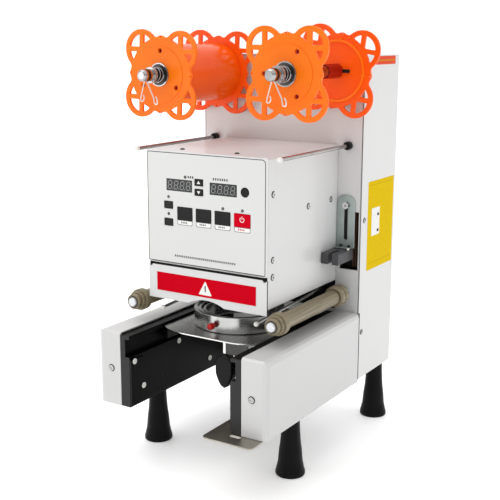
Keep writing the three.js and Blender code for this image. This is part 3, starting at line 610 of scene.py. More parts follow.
# ---------------------------------------------------------------- column
def column():
    refined("column_cover", white, 0.6)
    refined("column_front_panel", white, 0.25)
    low, high = span("column_cover")
    for word, x in (("left", low.x), ("right", high.x)):
        screws(f"column_{word}_screws", "frame", word, [(x, 10, z) for z in (156, 317, 475)], 3)
    back = [(s * 120, high.y, z) for s in (-1, 1) for z in (100, 290, 525)]
    screws("column_back_screws", "frame", "back", back)
    rating_label(high.x)
    top_sticker(high.x)
    seam = rectangle(128.55, 129.25, low.z + 1, high.z - 2)
    sheets("column_seams", [seam], 0.3, -0.05, ink_black, edge=0.05)
    loom()
    # A dull black sheet on the column's front between the arms, under the head: painted shade.
    sheets("rear_wall_shade", [rectangle(-76, 92, 187.5, 229)], 0.3, -0.2, rubber)
    refined("power_inlet", black_plastic, 0.5)
    refined("power_rocker", black_plastic, 0.5)
    mains_details()
    refined("press_motor", cast_metal, 0.8)
    refined("film_motor", aluminium, 0.8)
    refined("power_supply", aluminium, 0.5)


def loom():
    """Wires clipped inside the wall, seen through the opening beside the sensor."""
    # A black sheet behind the wires, inside the opening: painted shade.
    sheets("opening_shade", [rectangle(95, 129, 244, 333)], 0.6, 16, black_plastic)
    for number, (x, material) in enumerate(((114.6, wire_brown), (117, black_plastic), (119, wire_brown))):
        path = [(x, 8, 330), (x + 0.6, 7, 312), (x - 0.5, 7.6, 290), (x + 0.3, 8, 268), (x, 9, 250)]
        piece(f"loom_wire_{number}", tube(softened(path, 8), 0.9, 3), material, "frame")


def on_side(x, name, outlines, thickness, height, material, edge=0.02):
    """Foil or ink on the column's right side, its middle this far out from the sheet."""
    sheets(name, outlines, thickness, x + height, material, edge=edge, facing="side")


def rating_label(x):
    """Yellow foil with two darker rules, a white window and two small marks; no words."""
    y0, y1, z0, z1 = 20, 105, 242.5, 369
    rules = [rectangle(y0 + 4, y1 - 4, z, z + 0.8) for z in (z0 + 9, z1 - 6)]
    marks = [rectangle(51.2, 57, z - 2, z + 2, 0.8) for z in (296.5, 319.5)]
    on_side(x, "label_foil", [rectangle(y0, y1, z0, z1, 1.5)], 0.16, 0.08, label_yellow, 0.05)
    on_side(x, "label_rules", rules, INK, 0.18, label_line)
    on_side(x, "label_window", [rectangle(33, 59, 290.5, 330, 1)], 0.08, 0.19, ink_white, 0.03)
    on_side(x, "label_marks", marks, INK, 0.25, ink_black)


def top_sticker(x):
    on_side(x, "sticker", [rectangle(33, 97, 528, 539.5, 0.8)], 0.14, 0.07, sticker_orange, 0.05)
    on_side(x, "sticker_rule", [rectangle(36, 94, 533, 534.2)], INK, 0.16, label_line)


def mains_details():
    _, high, centre = extent("power_inlet")
    pins = []
    for x, z in ((-7, -3), (0, 3.5), (7, -3)):
        pin = flat(rectangle(-1.3, 1.3, -2.3, 2.3, 0.5), 14, edge=0.4)
        pins.append(moved(pin, centre.x + x, high.y - 10, centre.z + z))
    piece("inlet_pins", together(*pins), brass, "frame")
    spots = [(centre.x + s * 20.5, high.y, centre.z) for s in (-1, 1)]
    screws("inlet_screws", "frame", "back", spots, 1.9)
    low, high = span("power_rocker")
    outline = rectangle(low.x - 2.6, high.x + 2.6, low.z - 4, high.z + 4, 2)
    hole = rectangle(low.x - 0.5, high.x + 0.5, low.z - 2.2, high.z + 2.2, 0.8)
    bezel = flat(outline, 1.2, [hole], edge=0.4)
    piece("rocker_bezel", moved(bezel, y=span("column_cover")[1].y + 0.6), black_plastic, "frame")


# ---------------------------------------------------------------- arms and feet
def arms():
    for word, s in (("left", -1), ("right", 1)):
        # The black frame's front-facing faces take the lighter grey: a painted highlight.
        fronts = [(front_highlight, lambda _, normal: normal.y < -0.9)]
        refined(f"{word}_arm_frame", black_coat, 0.35, others=fronts)
        refined(f"{word}_arm_cladding", cladding_white_shaded, 0.5, angle=12)
        seam = rectangle(-0.1, 3.2, 87, 185.5)
        sheets(f"{word}_cladding_seam", [seam], 0.1, s * 130.05, ink_black, edge=0.03, facing="side")
        low, _ = span(f"{word}_arm_cladding")
        screws(f"{word}_cladding_screw", "frame", "front", [(s * 109.5, low.y, 135)], 3.9)
        inner = [(77.4, -242.7, 147.5), (77.4, -224.6, 108.8), (79, -142, 148.5), (79, -66, 101.4)]
        facing = "right" if s < 0 else "left"
        spots = [(s * x, y, z) for x, y, z in inner]
        screws(f"{word}_frame_screws", "frame", facing, spots, 4, pale_nylon)
    refined("arm_lower_plate", dark_steel, 0.3)


def feet():
    for node in ("front_left_foot", "front_right_foot", "rear_left_foot", "rear_right_foot"):
        low, high, centre = extent(node)
        sole = (high.x - low.x) / 2
        top = high.z
        neck = sole * 0.592
        cone = turned([
            (0, 0.8), (sole - 4, 0.8), (sole - 4, 0), (sole - 1, 0), (sole, 1.6), (sole, 5), (sole - 1.2, 9),
            (sole - 3.4, 19), (neck + 3.5, 34), (neck + 1.9, 46), (neck + 1, 58), (neck + 0.4, 70),
            (neck, top - 1.5), (neck - 1.2, top), (0, top),
        ], "Z", 80, cut=3)
        stand_in(node, cone, rubber, (centre.x, centre.y, 0))


# ---------------------------------------------------------------- sealing head
def head():
    refined("head_housing", white, 0.7)
    # The panel's faces below the hinge line are dull black: painted shade.
    refined("head_front_panel", white, 0.25, others=[(rubber, lambda at, _: at.z < 271.6)])
    # A black strip in the gap at the hinge: painted shadow.
    sheets("hinge_gap_shadow", [rectangle(-77.6, 77.6, 266, 272.6, 0.4)], 0.4, -185.6, black_plastic)
    sheets("panel_lip", [rectangle(-87, 87, 271.3, 272.9)], 0.3, panel_y + 0.15, membrane_grey)
    # Thin dull black plates over the hinge lugs: painted shade.
    lugs = [rectangle(x, x + 2.8, 266.7, 271.5, 0.3) for x in (-90.2, 87.4)]
    sheets("hinge_lug_shades", lugs, 0.1, panel_y - 0.05, rubber, edge=0.03)
    low, high = span("head_housing")
    sides = [(-175, 375), (-175, 292), (-175.5, 270), (-84.3, 347.3), (-20, 347.5)]
    for word, x in (("left", low.x), ("right", high.x)):
        screws(f"head_{word}_screws", "frame", word, [(x, y, z) for y, z in sides], 3.4)
    screws("head_top_screws", "frame", "top", [(-51, -166, high.z), (34.5, -167, high.z)], 2.6, burnished_and_shaded)
    keypad_graphics()
    key_caps()
    displays()
    refined("control_board", solder_mask, 0.15)
    low, high, centre = extent("guard_hinge_rod")
    rod = turned([(0, low.x), (0.9, low.x), (0.9, high.x), (0, high.x)], "X", 24, 0.3)
    stand_in("guard_hinge_rod", rod, burnished_and_shaded, (0, centre.y, centre.z))


INK = 0.06
panel_y = span("head_front_panel")[0].y
KEYS = [n for n in slot_of if n.endswith("_key")]
BIG_KEYS = ("count_key", "start_key", "stop_key", "power_key")
RESET = "counter_reset_button"
DISPLAYS = (("temperature", -40.6, 377.1), ("counter", 27.5, 377.0))
DISPLAY_SIZE = (41.0, 15.8)
LAMPS = ((-58, 361), (-58, 338.5), (27, 353), (56.2, 353), (-31, 388.6))


def key_box(node):
    """The face of a key's cap; its lip behind the panel is wider."""
    low, high = span(node)
    lip = 1.2
    return low.x + lip, high.x - lip, low.z + lip, high.z - lip


def display_window(x, z):
    across, up = (size / 2 for size in DISPLAY_SIZE)
    return rectangle(x - across, x + across, z - up, z + up, 0.5, 2)


def on_panel(name, meshes, material, height):
    """Joins thin printed shapes and lays them on the keypad sheet."""
    piece(name, moved(together(*meshes), y=panel_y - height), material, "frame")


def keypad_graphics():
    sheet = uneven_rectangle(-92, 90, 273, 419, 0)
    openings = []
    for node in KEYS:
        x0, x1, z0, z1 = key_box(node)
        openings.append(rectangle(x0 - 0.4, x1 + 0.4, z0 - 0.4, z1 + 0.4, 0.8, 3))
    openings += [display_window(x, z) for _, x, z in DISPLAYS]
    button = middle(RESET)
    openings.append(circle(button.x, button.z, 6.4))
    on_panel("keypad_sheet", [flat(sheet, 0.16, openings, 0.05)], membrane_grey, 0.08)
    border = flat(sheet, INK, [uneven_rectangle(-91.1, 89.1, 273.9, 418.1, 0.8)], 0.02)
    on_panel("keypad_border", [border], ink_grey, 0.19)
    key_tabs()
    captions = dashes_between(-27, -14, 389, 3.0, 3.4) + dashes_between(12, 39, 389.5, 3.0, 3.4)
    on_panel("caption_dashes", captions + dashes_between(-49, 47, 283.4, 2.8, 3.0), ink_grey, 0.19)
    rings = [flat(circle(x, z, 2.1), 0.08, [circle(x, z, 1.35)], 0.02) for x, z in LAMPS]
    on_panel("lamp_rings", rings, ink_black, 0.2)
    dome = [(0, -0.5), (0.9, -0.35), (1.3, 0), (0, 0)]
    on_panel("lamps", [moved(turned(dome, segments=24), x, 0, z) for x, z in LAMPS], lamp_grey, 0.16)


def key_tabs():
    """A white tab with a grey rim and a row of dashes under each large key."""
    tabs = []
    windows = []
    dashes = []
    foot = 325.3
    rim = 0.6
    for node in BIG_KEYS:
        x0, x1, under, _ = key_box(node)
        top = under - 0.1
        inner = tab_outline(x0 + rim, x1 - rim, foot + rim, top - rim)
        tabs.append(flat(tab_outline(x0, x1, foot, top), INK, [inner], 0.02))
        windows.append(flat(inner, 0.05, edge=0.02))
        centre = (x0 + x1) / 2
        row = dashes_between(centre - 6, centre + 6, foot + 3.4, 2.2, 2.6)
        if node == "power_key":
            on_panel("power_tab_dashes", row, strip_red, 0.22)
        else:
            dashes += row
    on_panel("key_tabs", tabs, ink_grey, 0.19)
    on_panel("key_tab_windows", windows, ink_white, 0.18)
    on_panel("key_tab_dashes", dashes, ink_grey, 0.22)


def uneven_rectangle(x0, x1, z0, z1, inset):
    """The sheet's outline: nearly square corners below, a small round left above and a large one right."""
    corners = ((x1, z0, 1.2, -90), (x1, z1, 5.4, 0), (x0, z1, 3.0, 90), (x0, z0, 1.2, 180))
    points = []
    for x, z, radius, start in corners:
        reach = max(radius - inset, 0.4)
        cx = x - reach if x == x1 else x + reach
        cz = z - reach if z == z1 else z + reach
        points += arc(cx, cz, reach, start, start + 90, 6)
    return points


def dashes_between(x0, x1, z, height, pitch):
    """A row of plain dashes where the real panel is lettered."""
    width = pitch * 0.55
    starts = [x0 + i * pitch for i in range(int((x1 - x0) / pitch))]
    return [flat(rectangle(x, x + width, z - height / 2, z + height / 2), 0.04, edge=0.015) for x in starts]


def tab_outline(x0, x1, z0, z1, radius=2.2):
    lower_right = arc(x1 - radius, z0 + radius, radius, -90, 0, 5)
    lower_left = arc(x0 + radius, z0 + radius, radius, 180, 270, 5)
    return [*lower_right, (x1, z1), (x0, z1), *lower_left]


def key_caps():
    for node in KEYS:
        low, high, centre = extent(node)
        cap = flat(rectangle(*key_box(node), 1.0), high.y - low.y, edge=0.35, steps=3)
        lip = flat(rectangle(low.x, high.x, low.z, high.z, 1.0), 1.8, edge=0.2)
        material = key_red if node == "power_key" else key_black
        stand_in(node, together(moved(cap, y=centre.y), moved(lip, y=high.y - 0.9)), material)
    key_marks()
    turned_in(RESET, key_black, [
        (0, 0.35), (2.4, 0.15), (4.6, 0), (5.7, 0.25), (6, 0.9), (6, 3.1), (7.2, 3.1), (7.2, 4.9), (0, 4.9),
    ], "Y", 64, 0.3)


def mark(node, outlines, ink):
    """Ink on a key's cap, its outlines given about the cap's middle."""
    low, _, centre = extent(node)
    placed = [[(centre.x + u, centre.z + v) for u, v in outline] for outline in outlines]
    sheets(f"{node}_mark", placed, 0.05, low.y - 0.03, ink, node, edge=0.015)


def key_marks():
    """Plain arrows, bars and the on-off sign, printed on the caps."""
    arrow = [(-2.6, -1.7), (2.6, -1.7), (0, 2.3)]
    mark("temp_up_key", [arrow], ink_white)
    mark("temp_down_key", [[(u, -v) for u, v in arrow[::-1]]], ink_white)
    for node in ("heat_key", "motor_key"):
        mark(node, [rectangle(-3.6, 3.6, z - 0.5, z + 0.5) for z in (-1.4, 1.4)], ink_grey)
    ring = arc(0, 1.2, 3.5, 125, 415, 26) + arc(0, 1.2, 2.6, 415, 125, 26)
    mark("power_key", [ring, rectangle(-0.45, 0.45, 1.4, 5.6, 0.3)], ink_white)


def segment(x0, z0, x1, z1, width=1.0):
    """One bar of a digit, pointed at both ends."""
    a = Vector((x0, z0))
    b = Vector((x1, z1))
    step = (b - a).normalized() * width / 2
    side = Vector((-step.y, step.x))
    points = [a, a + step - side, b - step - side, b, b - step + side, a + step + side]
    return flat([tuple(p) for p in points], 0.03, edge=0.01)


def digit(x, z, width=5.4, height=10.2, lean=0.7):
    """Seven bars of an unlit digit, leaning a little to the right, and its point."""
    def at(u, v):
        return x + u * width / 2 + v * lean, z + v * height / 2
    level = [(*at(-0.86, v), *at(0.86, v)) for v in (-1, 0, 1)]
    upright = [(*at(u, v0), *at(u, v1)) for u in (-1, 1) for v0, v1 in ((-0.92, -0.08), (0.08, 0.92))]
    point = flat(circle(x + width / 2 + 1.3, z - height / 2, 0.6, 16), 0.03, edge=0.01)
    return [segment(*ends) for ends in level + upright] + [point]


def displays():
    pitch = 9.6
    for name, x, z in DISPLAYS:
        sheets(f"{name}_glass", [display_window(x, z)], 0.25, panel_y + 0.22, glass_dark, edge=0.08)
        bars = []
        for i in range(4):
            bars += digit(x + (i - 1.5) * pitch - 0.4, z)
        on_panel(f"{name}_digits", bars, segment_grey, -0.08)


def guard():
    # The guard's faces at the hinge line and at its right end are dull black: painted shade.
    refined("guard_cover", white, 0.4, others=[(rubber, lambda at, _: at.z > 266.4 or at.x > 92.2)])
    face = span("guard_cover")[0].y
    sign = softened([(-11.4, 236), (9.4, 236), (-0.9, 254.7)], 1.2, closed=True)
    bar = softened([(-1.7, 240), (-0.1, 240), (0.1, 248.5), (-1.9, 248.5)], 0.6, closed=True)
    for name, outline, thickness, depth, edge, material in (
        ("guard_lip", rectangle(-85, 85, 266, 267.9), 0.3, 0.15, 0.1, white),
        ("guard_strip", rectangle(-79, 76.5, 233, 258), 0.14, -0.07, 0.05, strip_red),
        ("guard_triangle", sign, INK, -0.16, 0.02, ink_white),
        ("guard_triangle_bar", bar, 0.04, -0.2, 0.015, ink_grey),
    ):
        sheets(name, [outline], thickness, face + depth, material, "guard", edge)


# ---------------------------------------------------------------- press
def press():
    refined("press_base", aluminium, 0.4)
    refined("press_plate", aluminium, 0.4)
    refined("press_cam", turned_z, 0.4)
    r, _, top = round_size("heater_block")
    block = [(0, 0), (r, 0), (r, top - 3), (r - 3, top), (0, top)]
    turned_in("heater_block", turned_z, block, "Z", 96, 0.8)
    r, _, top = round_size("cutter_ring")
    ring = [(r - 2, 0), (r, 1.5), (r, top), (r - 2, top)]
    turned_in("cutter_ring", turned_z, ring, "Z", 120, 0.2, closed=True)
    for node in ("left_return_spring", "right_return_spring"):
        low, high, centre = extent(node)
        wire = helix(6.9, 0.9, high.z - low.z, 9, "Z", 20)
        foot = (centre.x, centre.y, low.z)
        coil = piece(f"{node}_fine", wire, spring_steel, None, foot, stands_for=node)
        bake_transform(coil)


def helix(radius, wire, length, turns, axis, steps):
    """A coil spring whose wire fills the given length, its end turns closed up."""
    points = []
    count = turns * steps
    closed = 2 * wire
    ends = 1.3 / turns
    for i in range(count + 1):
        share = i / count
        if share < ends:
            along = share / ends * closed
        elif share > 1 - ends:
            along = length - closed - (1 - share) / ends * closed
        else:
            along = closed + (share - ends) / (1 - 2 * ends) * (length - 3 * closed)
        points.append(AXES[axis](radius, wire + along, 2 * math.pi * turns * share))
    return tube(points, wire, 3)


# ---------------------------------------------------------------- tray
def tray():
    refined("tray_plate", steel_sheet, 0.35, angle=20, steps=3, others=[
        (shaded_steel, lambda at, _: at.y < -186 and at.z < 177.5 and at.x > 31.6),
        # The tray's front edge faces take the bright steel: a painted highlight.
        (bright_steel_and_highlight, lambda at, normal: at.y < -120 and 178.2 < at.z < 179.95 and abs(normal.z) < 0.9),
        # The tray's side flanges take the burnished steel: painted shade.
        (burnished_and_shaded, lambda at, _: abs(at.x) > 70 and at.z < 178.3),
    ])
    # A bright strip on the apron where the steel catches the light: a painted highlight.
    sheets("apron_post", [rectangle(28.5, 32.2, 163, 178.6, 0.4)], 0.3, -191, bright_steel_and_highlight, "tray")
    cup_ring()
    _, length, _ = round_size("ring_knob")
    turned_in("ring_knob", knob_red, [
        (0, 0), (2.8, 0.1), (4.2, 1), (4.6, 2.4), (4.5, length - 4.5), (3.8, length - 3.4), (2.6, length - 3),
        (2.6, length), (0, length),
    ], "Y", 48, 0.8)
    pull_handle()


def cup_ring():
    """Turned ring: a plain outer wall, a groove for the cutter and a seat for the cup's rim."""
    r, _, top = round_size("cup_ring")
    bore = 46
    turned_in("cup_ring", turned_z, [
        (bore, 0), (r - 0.8, 0), (r, 0.8), (r, top - 0.8), (r - 0.8, top), (r - 4.5, top), (r - 4.5, top - 2),
        (r - 9.5, top - 2), (r - 9.5, top - 5.5), (bore + 3.2, top - 5.5), (bore + 3.2, top - 3.5),
        (bore, top - 3.5),
    ], "Z", 160, 0.4, closed=True)


def pull_handle():
    """Drop-shaped moulding with a rounded rim, and the bolt at its foot."""
    low, high, centre = extent("tray_pull_handle")
    width = (high.x - low.x) / 2
    height = high.z - low.z
    sides = ([], [])
    for i in range(41):
        rise = i / 40
        reach = width * min(1, 1.55 * math.sqrt(rise)) * min(1, 2.6 * math.sqrt(1 - rise))
        for side, sign in zip(sides, (1, -1)):
            side.append((centre.x + sign * reach, low.z + height * rise))
    outline = eased(sides[0] + sides[1][::-1], 6, 1.2)
    body = flat(outline, high.y - low.y, edge=3.2, steps=5)
    stand_in("tray_pull_handle", moved(body, y=centre.y), handle_black)
    stud = turned([(0, 0), (1.7, 0.1), (2, 0.6), (2, 5), (0, 5)], "Z", 32, 0.3)
    piece("handle_stud", stud, bright_steel_and_highlight, "tray", (centre.x - 1, low.y + 2.4, low.z))


# ---------------------------------------------------------------- film guides
def film_guides():
    for word in ("left", "right"):
        film_roller(word)
        guide_rod(f"{word}_upper_rod", polished, 2.7, 5.7, 0.6, -190, 420.3)
        guide_rod(f"{word}_lower_rod", rod_steel_highlight, 2.0, 3.5, 1.2, -186, 216.9, 2.86)


def film_roller(word):
    """Long tube between two stepped collars, a groove on each side of it painted dark as shade, and a steel
    axle end.
    """
    node = f"{word}_film_roller"
    low, high, centre = extent(node)
    at = (centre.x, 0, centre.z)
    body = body_of[node]
    front = low.y
    rear = -17
    r = 10.5
    collar = 14.6
    axle = 6.2
    nose = [
        (6.6, 4.2), (8.2, 3.2), (9.8, 3.2), (10.4, 4), (10.4, 8.4), (9.4, 8.8), (9.4, 9.8), (12.3, 10),
        (12.6, 11), (12.6, 14), (11.8, 14.4), (11.8, 15.2), (collar - 0.3, 15.6), (collar, 16.6),
        (collar, 25), (collar - 1.2, 26.6), (r - 0.7, 26.8), (r - 0.7, 28.6), (r, 29),
    ]
    tail = [
        (r, -22.6), (r - 0.7, -22), (r - 0.7, -20.4), (12.4, -20.4), (collar, -18.6), (collar, -12),
        (12.6, -11), (12.6, -9.8), (collar, -8.8), (collar, -1), (collar - 0.8, 0), (6.6, 0),
    ]
    profile = shifted(nose, front) + shifted(tail, rear)
    stand_in(node, turned(profile, "Y", 80, 0.35, closed=True), nylon, at)
    # Dark bands in the grooves: painted shade.
    grooves = []
    for inner, outer, y in (
        (r - 0.8, r + 0.15, front + 26.8), (r - 0.8, r + 0.15, rear - 22),
        (9.2, 9.7, front + 8.6), (11.6, 12, front + 14.2), (6.4, 8.4, front + 2.9),
    ):
        band = [(inner, y), (outer, y), (outer, y + 1.5), (inner, y + 1.5)]
        grooves.append(turned(band, "Y", 80, 0.2, closed=True))
    piece(f"{word}_roller_grooves", together(*grooves), groove_shade_nylon, body, at)
    end = shifted([(0, 0), (5.2, 0), (6, 0.6), (axle, 1.4)], front)
    spindle = turned(end + [(axle, -7), (axle, high.y), (0, high.y)], "Y", 56, 0.3)
    piece(f"{word}_roller_axle", spindle, axle_steel, body, at, slot="polished_steel")


def guide_rod(node, material, radius, collar, tip, front, z, fall=0.0):
    """Rod with a nut at the wall and a pale cap; fall is how far it leans down towards its front."""
    at = (middle(node).x, 0, z)
    cap = radius + tip
    inner = radius - 0.2
    rod = [(0, front + 3), (radius, front + 3), (radius, 6), (0, 6)]
    nut = [(inner, -9), (collar - 0.6, -9), (collar, -8.2), (collar, -1), (inner, -1)]
    end = shifted([(0, 0), (cap - 0.8, 0.2), (cap, 1.4), (cap, 4.4), (0, 4.4)], front)

    def leaning(profile, cut, closed=False):
        return moved(turned(profile, "Y", 40, cut, closed), turn=fall, axis="X")

    stand_in(node, leaning(rod, 0.3), material, at)
    piece(f"{node}_nut", leaning(nut, 0.3, True), burnished_and_shaded, "frame", at)
    piece(f"{node}_tip", leaning(end, 0.4), pale_nylon, "frame", at)


# ---------------------------------------------------------------- film mark sensor
def mark_sensor():
    low, high = span("sensor_bracket")
    crown = 11
    notch = 3
    left = [(0, 0), (6, 0), (6, notch), (9, notch), (9, 0)]
    outline = [(low.x + u, low.z + v) for u, v in left]
    outline += [(high.x - u, low.z + v) for u, v in left[::-1]]
    outline += arc(high.x - crown, high.z - crown, crown, 0, 90, 10)
    outline += arc(low.x + crown, high.z - crown, crown, 90, 180, 10)
    slot = rectangle(104.7, 110.1, 289, 341, 2.6)
    plate = moved(flat(outline, 2, [slot], 0.35), y=-1.4)
    tab = flat(rectangle(low.x + 2, high.x - 2, low.y, -0.5, 1), 1.6, edge=0.3, facing="top")
    stand_in("sensor_bracket", together(plate, moved(tab, z=low.z + 0.8)), zinc)
    refined("mark_sensor", sensor_grey, 0.6)
    low, high = span("mark_sensor")
    lamp = turned([(0, 3), (1.1, 2.7), (1.6, 1.8), (1.6, 0), (0, 0)], "Z", 24, 0.4)
    piece("sensor_lamp", lamp, pale_nylon, "sensor", (high.x - 2, -15, high.z))
    catches = [rectangle(x - 1.5, x + 1.5, high.z, high.z + 4.4, 0.4) for x in (low.x + 7, high.x - 7)]
    sheets("sensor_catches", catches, 2.4, -3.8, black_plastic, "sensor", edge=0.3)
    screws("sensor_screws", "sensor", "top", [(x, -12, high.z) for x in (low.x + 5, high.x - 5)], 1.8)


def sensor_clamp():
    """Hexagon nut and stud that clamp the bracket in its slot, and a black sheet behind the slot as painted
    shade.
    """
    x, z = 107.9, 337.7
    sheets("clamp_nut", [circle(x, z, 4.9, 6)], 2.8, -4.1, cast_metal, edge=0.5)
    sheets("slot_shade", [rectangle(103.6, 111.2, 285, 345, 2)], 0.24, -0.2, black_plastic, edge=0.08)
    stem = turned([(0, -6.2), (1.6, -6.2), (1.9, -5.8), (1.9, -3), (0, -3)], "Y", 24, 0.2)
    piece("clamp_stem", stem, screw_steel, "frame", (x, 0, z))


# ---------------------------------------------------------------- reels
LOBE = 31.5
LOBE_RADIUS = 26.28
DISC = 49.0
RIM = 6.5
SPOKE = 3.15
BUMP = 45.6
FLANGE = 4.0
FLANGE_BORE = 8.4
SCREW_CIRCLE = 31.0
QUARTERS = ((1, 1), (-1, 1), (-1, -1), (1, -1))
COMPASS = ((1, 0), (0, 1), (-1, 0), (0, -1))


def far_hit(angle, cx, cz, radius):
    """Where a ray from the reel's centre leaves a circle, or 0 if it misses."""
    along = cx * math.cos(angle) + cz * math.sin(angle)
    off = cx * cx + cz * cz - along * along
    if off >= radius * radius or along < 0:
        return 0.0
    return along + math.sqrt(radius * radius - off)


def eased(points, rounds, pitch):
    """Walks a closed outline in even steps and evens out its corners."""
    lengths = [math.dist(points[i - 1], points[i]) for i in range(len(points))]
    total = sum(lengths)
    count = max(12, round(total / pitch))
    even = []
    at = 0
    walked = 0.0
    for i in range(count):
        target = total * i / count
        while walked + lengths[at] < target:
            walked += lengths[at]
            at += 1
        share = (target - walked) / max(lengths[at], 1e-9)
        even.append(tuple(a + (b - a) * share for a, b in zip(points[at - 1], points[at])))
    for _ in range(rounds):
        even = [
            tuple((a + 2 * b + c) / 4 for a, b, c in zip(even[i - 1], even[i], even[(i + 1) % count]))
            for i in range(count)
        ]
    return even


def clover():
    """Outer edge of a flange: a disc, four lobes and four small bumps between them."""
    circles = [(0, 0, DISC)] + [(a * LOBE, b * LOBE, LOBE_RADIUS) for a, b in QUARTERS]
    circles += [(a * BUMP, b * BUMP, 5.4) for a, b in COMPASS]
    points = []
    for i in range(720):
        degrees = i / 2
        points.append(polar(max(far_hit(math.radians(degrees), *c) for c in circles), degrees))
    return eased(points, 9, 0.9)


def lobe_windows():
    """The three openings of each lobe, between its rim, its two spokes and the disc."""
    inner = LOBE_RADIUS - RIM
    disc = DISC - 1
    level = math.sqrt(inner ** 2 - SPOKE ** 2)
    start = math.degrees(math.asin(SPOKE / inner))
    outer = [(LOBE + SPOKE, LOBE + SPOKE)] + arc(LOBE, LOBE, inner, start, 90 - start, 14)
    between = math.hypot(LOBE, LOBE)
    along = (between ** 2 + inner ** 2 - disc ** 2) / (2 * between)
    crossing = 225 - math.degrees(math.acos(along / inner))
    rim = arc(LOBE, LOBE, inner, 90 + start, crossing, 10)
    edge_x = LOBE - SPOKE
    first = math.degrees(math.atan2(rim[-1][1], rim[-1][0]))
    last = math.degrees(math.acos(edge_x / disc))
    side = [(edge_x, LOBE + level)] + rim + arc(0, 0, disc, first, last, 8)
    mirrored = [(z, x) for x, z in side][::-1]
    shapes = [eased(shape, 7, 0.6) for shape in (outer, side, mirrored)]
    return [[(a * x, b * z) for x, z in shape] for a, b in QUARTERS for shape in shapes]


def flange(screw_angles):
    pits = [circle(*polar(SCREW_CIRCLE, a), 3.0, 24) for a in screw_angles]
    pins = [circle(a * DISC, b * DISC, 1.1, 12) for a, b in COMPASS]
    holes = [circle(0, 0, FLANGE_BORE, 40), *lobe_windows(), *pits, *pins]
    return moved(flat(clover(), FLANGE, holes, edge=0.55, steps=3), y=FLANGE / 2)


def front_flange(word, body, x, z, turn, screw_angles):
    """The clover, a raised face plate with recesses, and the heads deep in them."""
    at = (x, span(f"{word}_front_flange")[0].y, z)
    holes = [circle(0, 0, FLANGE_BORE, 40)]
    holes += [circle(*polar(SCREW_CIRCLE, a), 3.3, 24) for a in screw_angles]
    face = moved(flat(circle(0, 0, 37, 96), 1.4, holes, 0.35), y=0.75)
    whole = together(moved(flange(screw_angles), y=1), face)
    stand_in(f"{word}_front_flange", whole, orange, at, turn)
    heads = []
    for u, v in (polar(SCREW_CIRCLE, a) for a in screw_angles):
        heads.append(moved(screw_head(2.7, 1.2), u, FLANGE, v))
    piece(f"{word}_front_screws", together(*heads), deep_red, body, at, turn)


def rear_flange(word, body, x, z, turn, hub):
    at = (x, span(f"{word}_rear_flange")[1].y - FLANGE, z)
    if hub:
        ridge = [moved(flat(circle(0, 0, 41, 96), 2.4, [circle(0, 0, 38, 96)], 0.7), y=-0.9)]
        for a in (0, 90, 180, 270):
            tooth = flat(rectangle(36.5, 43, -1, 1, 0.6), 1.6, edge=0.4)
            ridge.append(moved(tooth, y=-1.2, turn=a))
        # The ridge keeps the lighter front orange so that it stands out from the rear flange: a painted
        # highlight.
        piece(f"{word}_rear_ridge", together(*ridge), orange, body, at, turn)
    # The rear flange takes the darker copy of the orange: painted shade.
    stand_in(f"{word}_rear_flange", flange(()), orange_rear_shaded, at, turn)
    if hub:
        sleeve = turned([(8.5, -hub), (9.8, -hub), (9.8, 0.5), (8.5, 0.5)], "Y", 8, 0.5, closed=True)
        piece(f"{word}_hub", sleeve, deep_red, body, at, turn)
        key = flat(rectangle(9.4, 19.5, -2.2, 2.2, 1), 2.2, edge=0.5)
        piece(f"{word}_drive_key", moved(key, y=-0.9), black_plastic, body, at)


def reel_shaft(word, body, x, z):
    """Shaft with its snap ring, flange washer and rear stop, two black bands on it as painted shade, and a
    washer in the darker shaded steel as painted shade.
    """
    node = f"{word}_reel_shaft"
    low, high = span(node)
    at = (x, 0, z)
    r = 8.0
    front = low.y
    face = span(f"{word}_front_flange")[0].y - 0.3
    stop = span(f"{word}_rear_flange")[1].y + 0.3
    tip = [
        (0, 0), (r - 3, 0), (r - 0.8, 1.6), (r, 4), (r, 7.4), (r - 0.9, 8), (r - 0.9, 11), (r, 11.6),
        (r, 18.5), (10.5, 18.5), (10.5, 20.2), (r, 20.2),
    ]
    middle_part = [(r, face - 1.7), (15.5, face - 1.7), (15.5, face), (r, face)]
    rear = shifted([(r, 0), (r + 6, 0), (r + 6, 7), (r, 7)], stop) + [(r, high.y), (0, high.y)]
    stand_in(node, turned(shifted(tip, front) + middle_part + rear, "Y", 80, 0.4), turned_y, at)
    # Black bands on the neck and behind the spring: painted shade.
    shade_bands = [
        turned([(r - 1, a), (r + 0.06, a), (r + 0.06, b), (r - 1, b)], "Y", 64, 0.05, closed=True)
        for a, b in ((front + 7.8, front + 12.2), (front + 20.3, face - 1.8))
    ]
    piece(f"{word}_shaft_sleeves", together(*shade_bands), black_plastic, body, at)
    # The washer takes the darker shaded steel: painted shade.
    washer = shifted([(8.2, -1.9), (14, -1.9), (14, -1.5), (8.2, -1.5)], face)
    piece(f"{word}_washer", turned(washer, closed=True, cut=0.1), shaded_steel, body, at)


def spring_and_clip(word, x, z):
    spring = f"{word}_reel_spring"
    low, high = span(spring)
    stand_in(spring, helix(9.5, 0.85, high.y - low.y, 4, "Y", 28), spring_steel, (x, low.y, z))
    clip = f"{word}_shaft_clip"
    hook = [
        (-3.4, -25), (-2.2, -29.5), (-5, -33.6), (-8.4, -33), (-7.4, -27), (-1, -5.4), (1.2, -5.4),
        (13, -28.5), (14.2, -36), (18.4, -37), (19, -31), (16.4, -26.5),
    ]
    wire = tube(softened([(u, 0, v) for u, v in hook], 2.2, steps=5), 0.85, 4)
    stand_in(clip, wire, clip_wire, (x, middle(clip).y, z))


